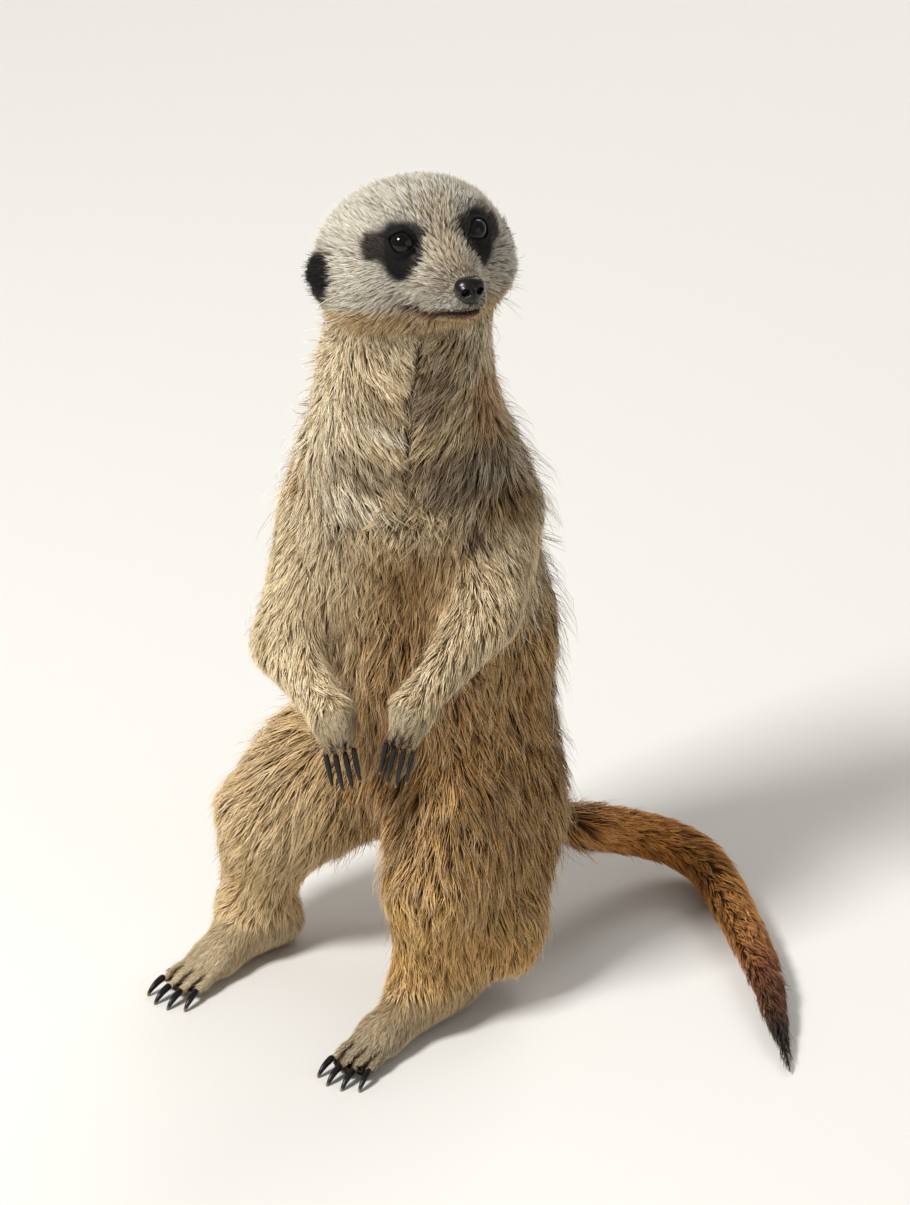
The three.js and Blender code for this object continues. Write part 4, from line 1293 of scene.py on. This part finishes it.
def round_claw(node, paw):
    horn = bmesh.new()
    horn.from_mesh(NODES[node].data)
    bmesh.ops.remove_doubles(horn, verts=horn.verts, dist=0.005 * MM)
    mesh = bpy.data.meshes.new(node)
    horn.to_mesh(mesh)
    horn.free()
    claw = mesh_object("horn_" + node[5:], mesh)
    smooth = claw.modifiers.new("round", "SUBSURF")
    smooth.levels = 2
    claw.data = bpy.data.meshes.new_from_object(claw.evaluated_get(bpy.context.evaluated_depsgraph_get()))
    claw.modifiers.clear()
    claw.data.polygons.foreach_set("use_smooth", np.ones(len(claw.data.polygons), bool))
    full = points_of(claw.data) + normals_of(claw.data) * ROUNDING_LOSS
    full[:, 2] = np.maximum(full[:, 2], CLAW_GAP)
    move_points(claw.data, full)
    root, tip = claw_ends(node, paw)
    along = np.clip((points_of(claw.data) - root) @ (tip - root) / dot(tip - root, tip - root), 0, 1)
    colour = mix(UMBER * 0.6, DARK_HORN, ease(0, 0.25, along))
    add_colours(claw.data, mix(colour, BUFF * 0.8, ease(0.8, 1.05, along)))
    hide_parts(node)
    return claw


claws = [round_claw(node, paw) for paw in PAWS for node in claws_of(paw)]
print("claws:", len(claws))

# %% [markdown]
# ## Finishes
# Most finishes take their colour from the points they cover, and a few have one colour of their own. Noise
# adds fine detail: streaks along the hair, pebbles on the nose, uneven horn. Gloss comes from plain shader
# values.


# %% Helpers for materials
def finish_for(name, roughness, specular):
    """A new material with its node tree and its shader."""
    material = bpy.data.materials.new(name)
    material.use_nodes = True
    tree = material.node_tree
    shader = tree.nodes["Principled BSDF"]
    shader.inputs["Roughness"].default_value = roughness
    shader.inputs["Specular IOR Level"].default_value = specular
    return material, tree, shader


def add_node(tree, kind, **inputs):
    made = tree.nodes.new(kind)
    for socket, value in inputs.items():
        socket = socket.replace("_", " ")
        if isinstance(value, bpy.types.NodeSocket):
            tree.links.new(value, made.inputs[socket])
        else:
            made.inputs[socket].default_value = value
    return made


def base_colour(tree, colour):
    """One given colour, or without one the paint that is stored on the piece's points."""
    if colour is None:
        paint = tree.nodes.new("ShaderNodeAttribute")
        paint.attribute_name = "paint"
        return paint.outputs["Color"]
    rgb = tree.nodes.new("ShaderNodeRGB")
    rgb.outputs[0].default_value = (*linear(np.array(colour)), 1)
    return rgb.outputs[0]


def varied(tree, colour, factor, low, high):
    """Multiplies a colour by a grey that runs from low to high with a factor."""
    spread_out = add_node(tree, "ShaderNodeMapRange", Value=factor, From_Min=0.3, From_Max=0.7,
                          To_Min=low, To_Max=high)
    scaled = tree.nodes.new("ShaderNodeVectorMath")
    scaled.operation = "SCALE"
    tree.links.new(colour, scaled.inputs[0])
    tree.links.new(spread_out.outputs["Result"], scaled.inputs["Scale"])
    return scaled.outputs["Vector"]


def bumped(tree, shader, height, strength, distance):
    bump = add_node(tree, "ShaderNodeBump", Height=height, Strength=strength, Distance=distance * MM)
    tree.links.new(bump.outputs["Normal"], shader.inputs["Normal"])


# %% Hair and skin
def place_noise(tree, per_mm, stretch):
    """Noise in the part's own space, with about so many grains to a millimetre."""
    where = add_node(tree, "ShaderNodeNewGeometry")
    scaled = add_node(tree, "ShaderNodeMapping", Vector=where.outputs["Position"], Scale=stretch)
    place = scaled.outputs["Vector"]
    return add_node(tree, "ShaderNodeTexNoise", Vector=place, Scale=per_mm / MM, Detail=3.0).outputs["Fac"]


def finish(name, roughness, specular, grain, bump, depth=0.2, tones=(0.75, 1.2), stretch=(1, 1, 1),
           colour=None):
    """A material whose colour and bump both vary with one noise."""
    material, tree, shader = finish_for(name, roughness, specular)
    fine = place_noise(tree, grain, stretch)
    tree.links.new(varied(tree, base_colour(tree, colour), fine, *tones), shader.inputs["Base Color"])
    bumped(tree, shader, fine, bump, depth)
    return material


def hair_finish(name, roughness=0.6, specular=0.15):
    return finish(name, roughness, specular, 1.6, 0.35, depth=0.15, tones=(0.88, 1.1), stretch=(1, 1, 0.35))


HAIR_KINDS = {
    "pale_fur": ("head", "hand", "foot"),
    "dark_fur": ("ear",),
    "body_fur": ("neck", "chest", "belly"),
    "limb_fur": ("arm", "thigh", "shank"),
    "tail_fur": ("tail",),
}
for kind, regions in HAIR_KINDS.items():
    hair = hair_finish(kind)
    for name, piece in coat.items():
        if any(name.startswith(f"coat_{region}_") for region in regions):
            piece.data.materials.append(hair)
guard_hair = hair_finish("guard_hair", roughness=0.45, specular=0.25)
for name in ("guard_hairs", "bristles", "whorl"):
    coat[name].data.materials.append(guard_hair)
# The skin is darkened where the roots above it are dark: partly dark underfur, partly painted shade under
# the coat.
add_colours(skin_mesh, skin_paint * (1 - 0.9 * skin_underfur_and_shade)[:, None])
skin_mesh.materials.clear()
bare_skin = finish("skin_under_fur", 0.75, 0.2, 2.2, 0.6, depth=0.3, tones=(0.65, 1.05), stretch=(1, 1, 0.3))
skin_mesh.materials.append(bare_skin)
skin_mesh.polygons.foreach_set("use_smooth", np.ones(len(skin_mesh.polygons), bool))
print("hair finishes:", list(HAIR_KINDS))


# %% Eyes, rims, nose, claws and whiskers
def nose_finish():
    material, tree, shader = finish_for("nose_leather", 0.28, 0.35)
    where = add_node(tree, "ShaderNodeNewGeometry")
    pebbles = add_node(tree, "ShaderNodeTexVoronoi", Vector=where.outputs["Position"], Scale=2.4 / MM)
    colour = varied(tree, base_colour(tree, (0.08, 0.065, 0.06)), pebbles.outputs["Distance"], 1.25, 0.7)
    tree.links.new(colour, shader.inputs["Base Color"])
    bumped(tree, shader, pebbles.outputs["Distance"], -0.5, 0.12)
    return material


FINISHED = (
    (eyes, finish("eye_gloss", 0.05, 0.3, 3.0, 0.0)),
    (rims, finish("lid_wet", 0.5, 0.12, 2.0, 0.3, colour=(0.03, 0.025, 0.025))),
    (claws, finish("claw_horn", 0.25, 0.3, 1.2, 0.15)),
    ([nose], nose_finish()),
    ([whiskers], finish("whisker_hair", 0.45, 0.4, 1.0, 0.0, colour=(0.62, 0.56, 0.48))),
)
for pieces, material in FINISHED:
    for piece in pieces:
        piece.data.materials.append(material)
print("pieces with a finish of their own:", sum(len(pieces) for pieces, _ in FINISHED))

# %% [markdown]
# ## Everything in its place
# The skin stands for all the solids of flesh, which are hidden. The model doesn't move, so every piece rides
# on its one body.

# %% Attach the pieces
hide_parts(*REGION_OF)
for piece in [skin, whiskers, nose, *eyes, *rims, *claws, *coat.values()]:
    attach(piece, "root")
print("pieces:", 4 + len(eyes) + len(rims) + len(claws) + len(coat))

# %% [markdown]
# ## Floor and backdrop
# A pale floor that curves up behind the animal, like a roll of studio paper, takes a soft shadow and shows
# no line.

# %% Paper roll
ROLL_HALF, ROLL_FRONT, ROLL_BACK, ROLL_RADIUS, ROLL_TOP = 2.5, -2.0, 1.2, 0.8, 3.0
profile = [(ROLL_FRONT, 0.0)]
for step in range(25):
    turn = math.radians(90 * step / 24)
    profile.append((ROLL_BACK + ROLL_RADIUS * math.sin(turn), ROLL_RADIUS * (1 - math.cos(turn))))
profile.append((ROLL_BACK + ROLL_RADIUS, ROLL_TOP))
roll_points = [(x, y, z) for y, z in profile for x in (-ROLL_HALF, ROLL_HALF)]
roll_faces = [(2 * k, 2 * k + 1, 2 * k + 3, 2 * k + 2) for k in range(len(profile) - 1)]
roll_mesh = bpy.data.meshes.new("paper_roll")
roll_mesh.from_pydata(roll_points, [], roll_faces)
paper_roll = mesh_object("paper_roll", roll_mesh)
paper, tree, shader = finish_for("paper", 0.85, 0.2)
shader.inputs["Base Color"].default_value = (*linear(np.array([0.90, 0.89, 0.87])), 1)
roll_mesh.materials.append(paper)
paper_roll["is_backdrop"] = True
print("paper roll faces:", len(roll_faces))

# %% [markdown]
# ## Light
# A key lamp high on the left shapes the body, a weak fill opens the shadows, and a lamp behind lifts the
# edge of the fur. Their strength is set so that a colour renders about as it is written.

# %% Lamps and room
scene = bpy.context.scene
scene.view_settings.view_transform = "Standard"
AIM = Vector((-4.6, 4.0, 145.0)) * MM
LAMPS = {
    "key": ((-1.0, -0.72, 1.65), 41.0, 0.42),
    "fill": ((1.3, -1.1, 0.7), 3.0, 1.2),
    "edge": ((0.6, 1.3, 1.3), 9.0, 0.9),
}
for name, (place, energy, size) in LAMPS.items():
    lamp = bpy.data.objects.new(name, bpy.data.lights.new(name, "AREA"))
    lamp.data.energy, lamp.data.size = energy, size
    lamp.location = place
    lamp.rotation_euler = (AIM - Vector(place)).to_track_quat("-Z", "Y").to_euler()
    scene.collection.objects.link(lamp)
room = bpy.data.worlds.new("room")
room.use_nodes = True
sky = room.node_tree.nodes["Background"].inputs
sky["Color"].default_value = (1.0, 0.98, 0.95, 1)
sky["Strength"].default_value = 0.31
scene.world = room
print("lamps:", list(LAMPS))

# %% [markdown]
# ## Camera
# The camera stands well back with a long lens, a little above the animal, and looks down on it.

# %% Camera
CAMERA_PITCH = math.radians(28)
CAMERA_FAR, LENS = 2.2, 193.9
camera = bpy.data.objects.new("camera", bpy.data.cameras.new("camera"))
camera.location = AIM + Vector((0, -math.cos(CAMERA_PITCH), math.sin(CAMERA_PITCH))) * CAMERA_FAR
camera.rotation_euler = (math.pi / 2 - CAMERA_PITCH, 0, 0)
camera.data.lens = LENS
scene.collection.objects.link(camera)
scene.camera = camera

# %% [markdown]
# ## Measure and finish
# The boxes of the solids and of the dressed model are printed, so that the two can be set side by side.

# %% Measure the model and finish
boxes = {"cad": CAD_BOX, "visual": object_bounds()}
sizes = {name: [list(map(float, corner)) for corner in box] for name, box in boxes.items()}
in_mm = {name: [[round(v / MM, 1) for v in corner] for corner in box] for name, box in sizes.items()}
print("boxes in mm:", in_mm)
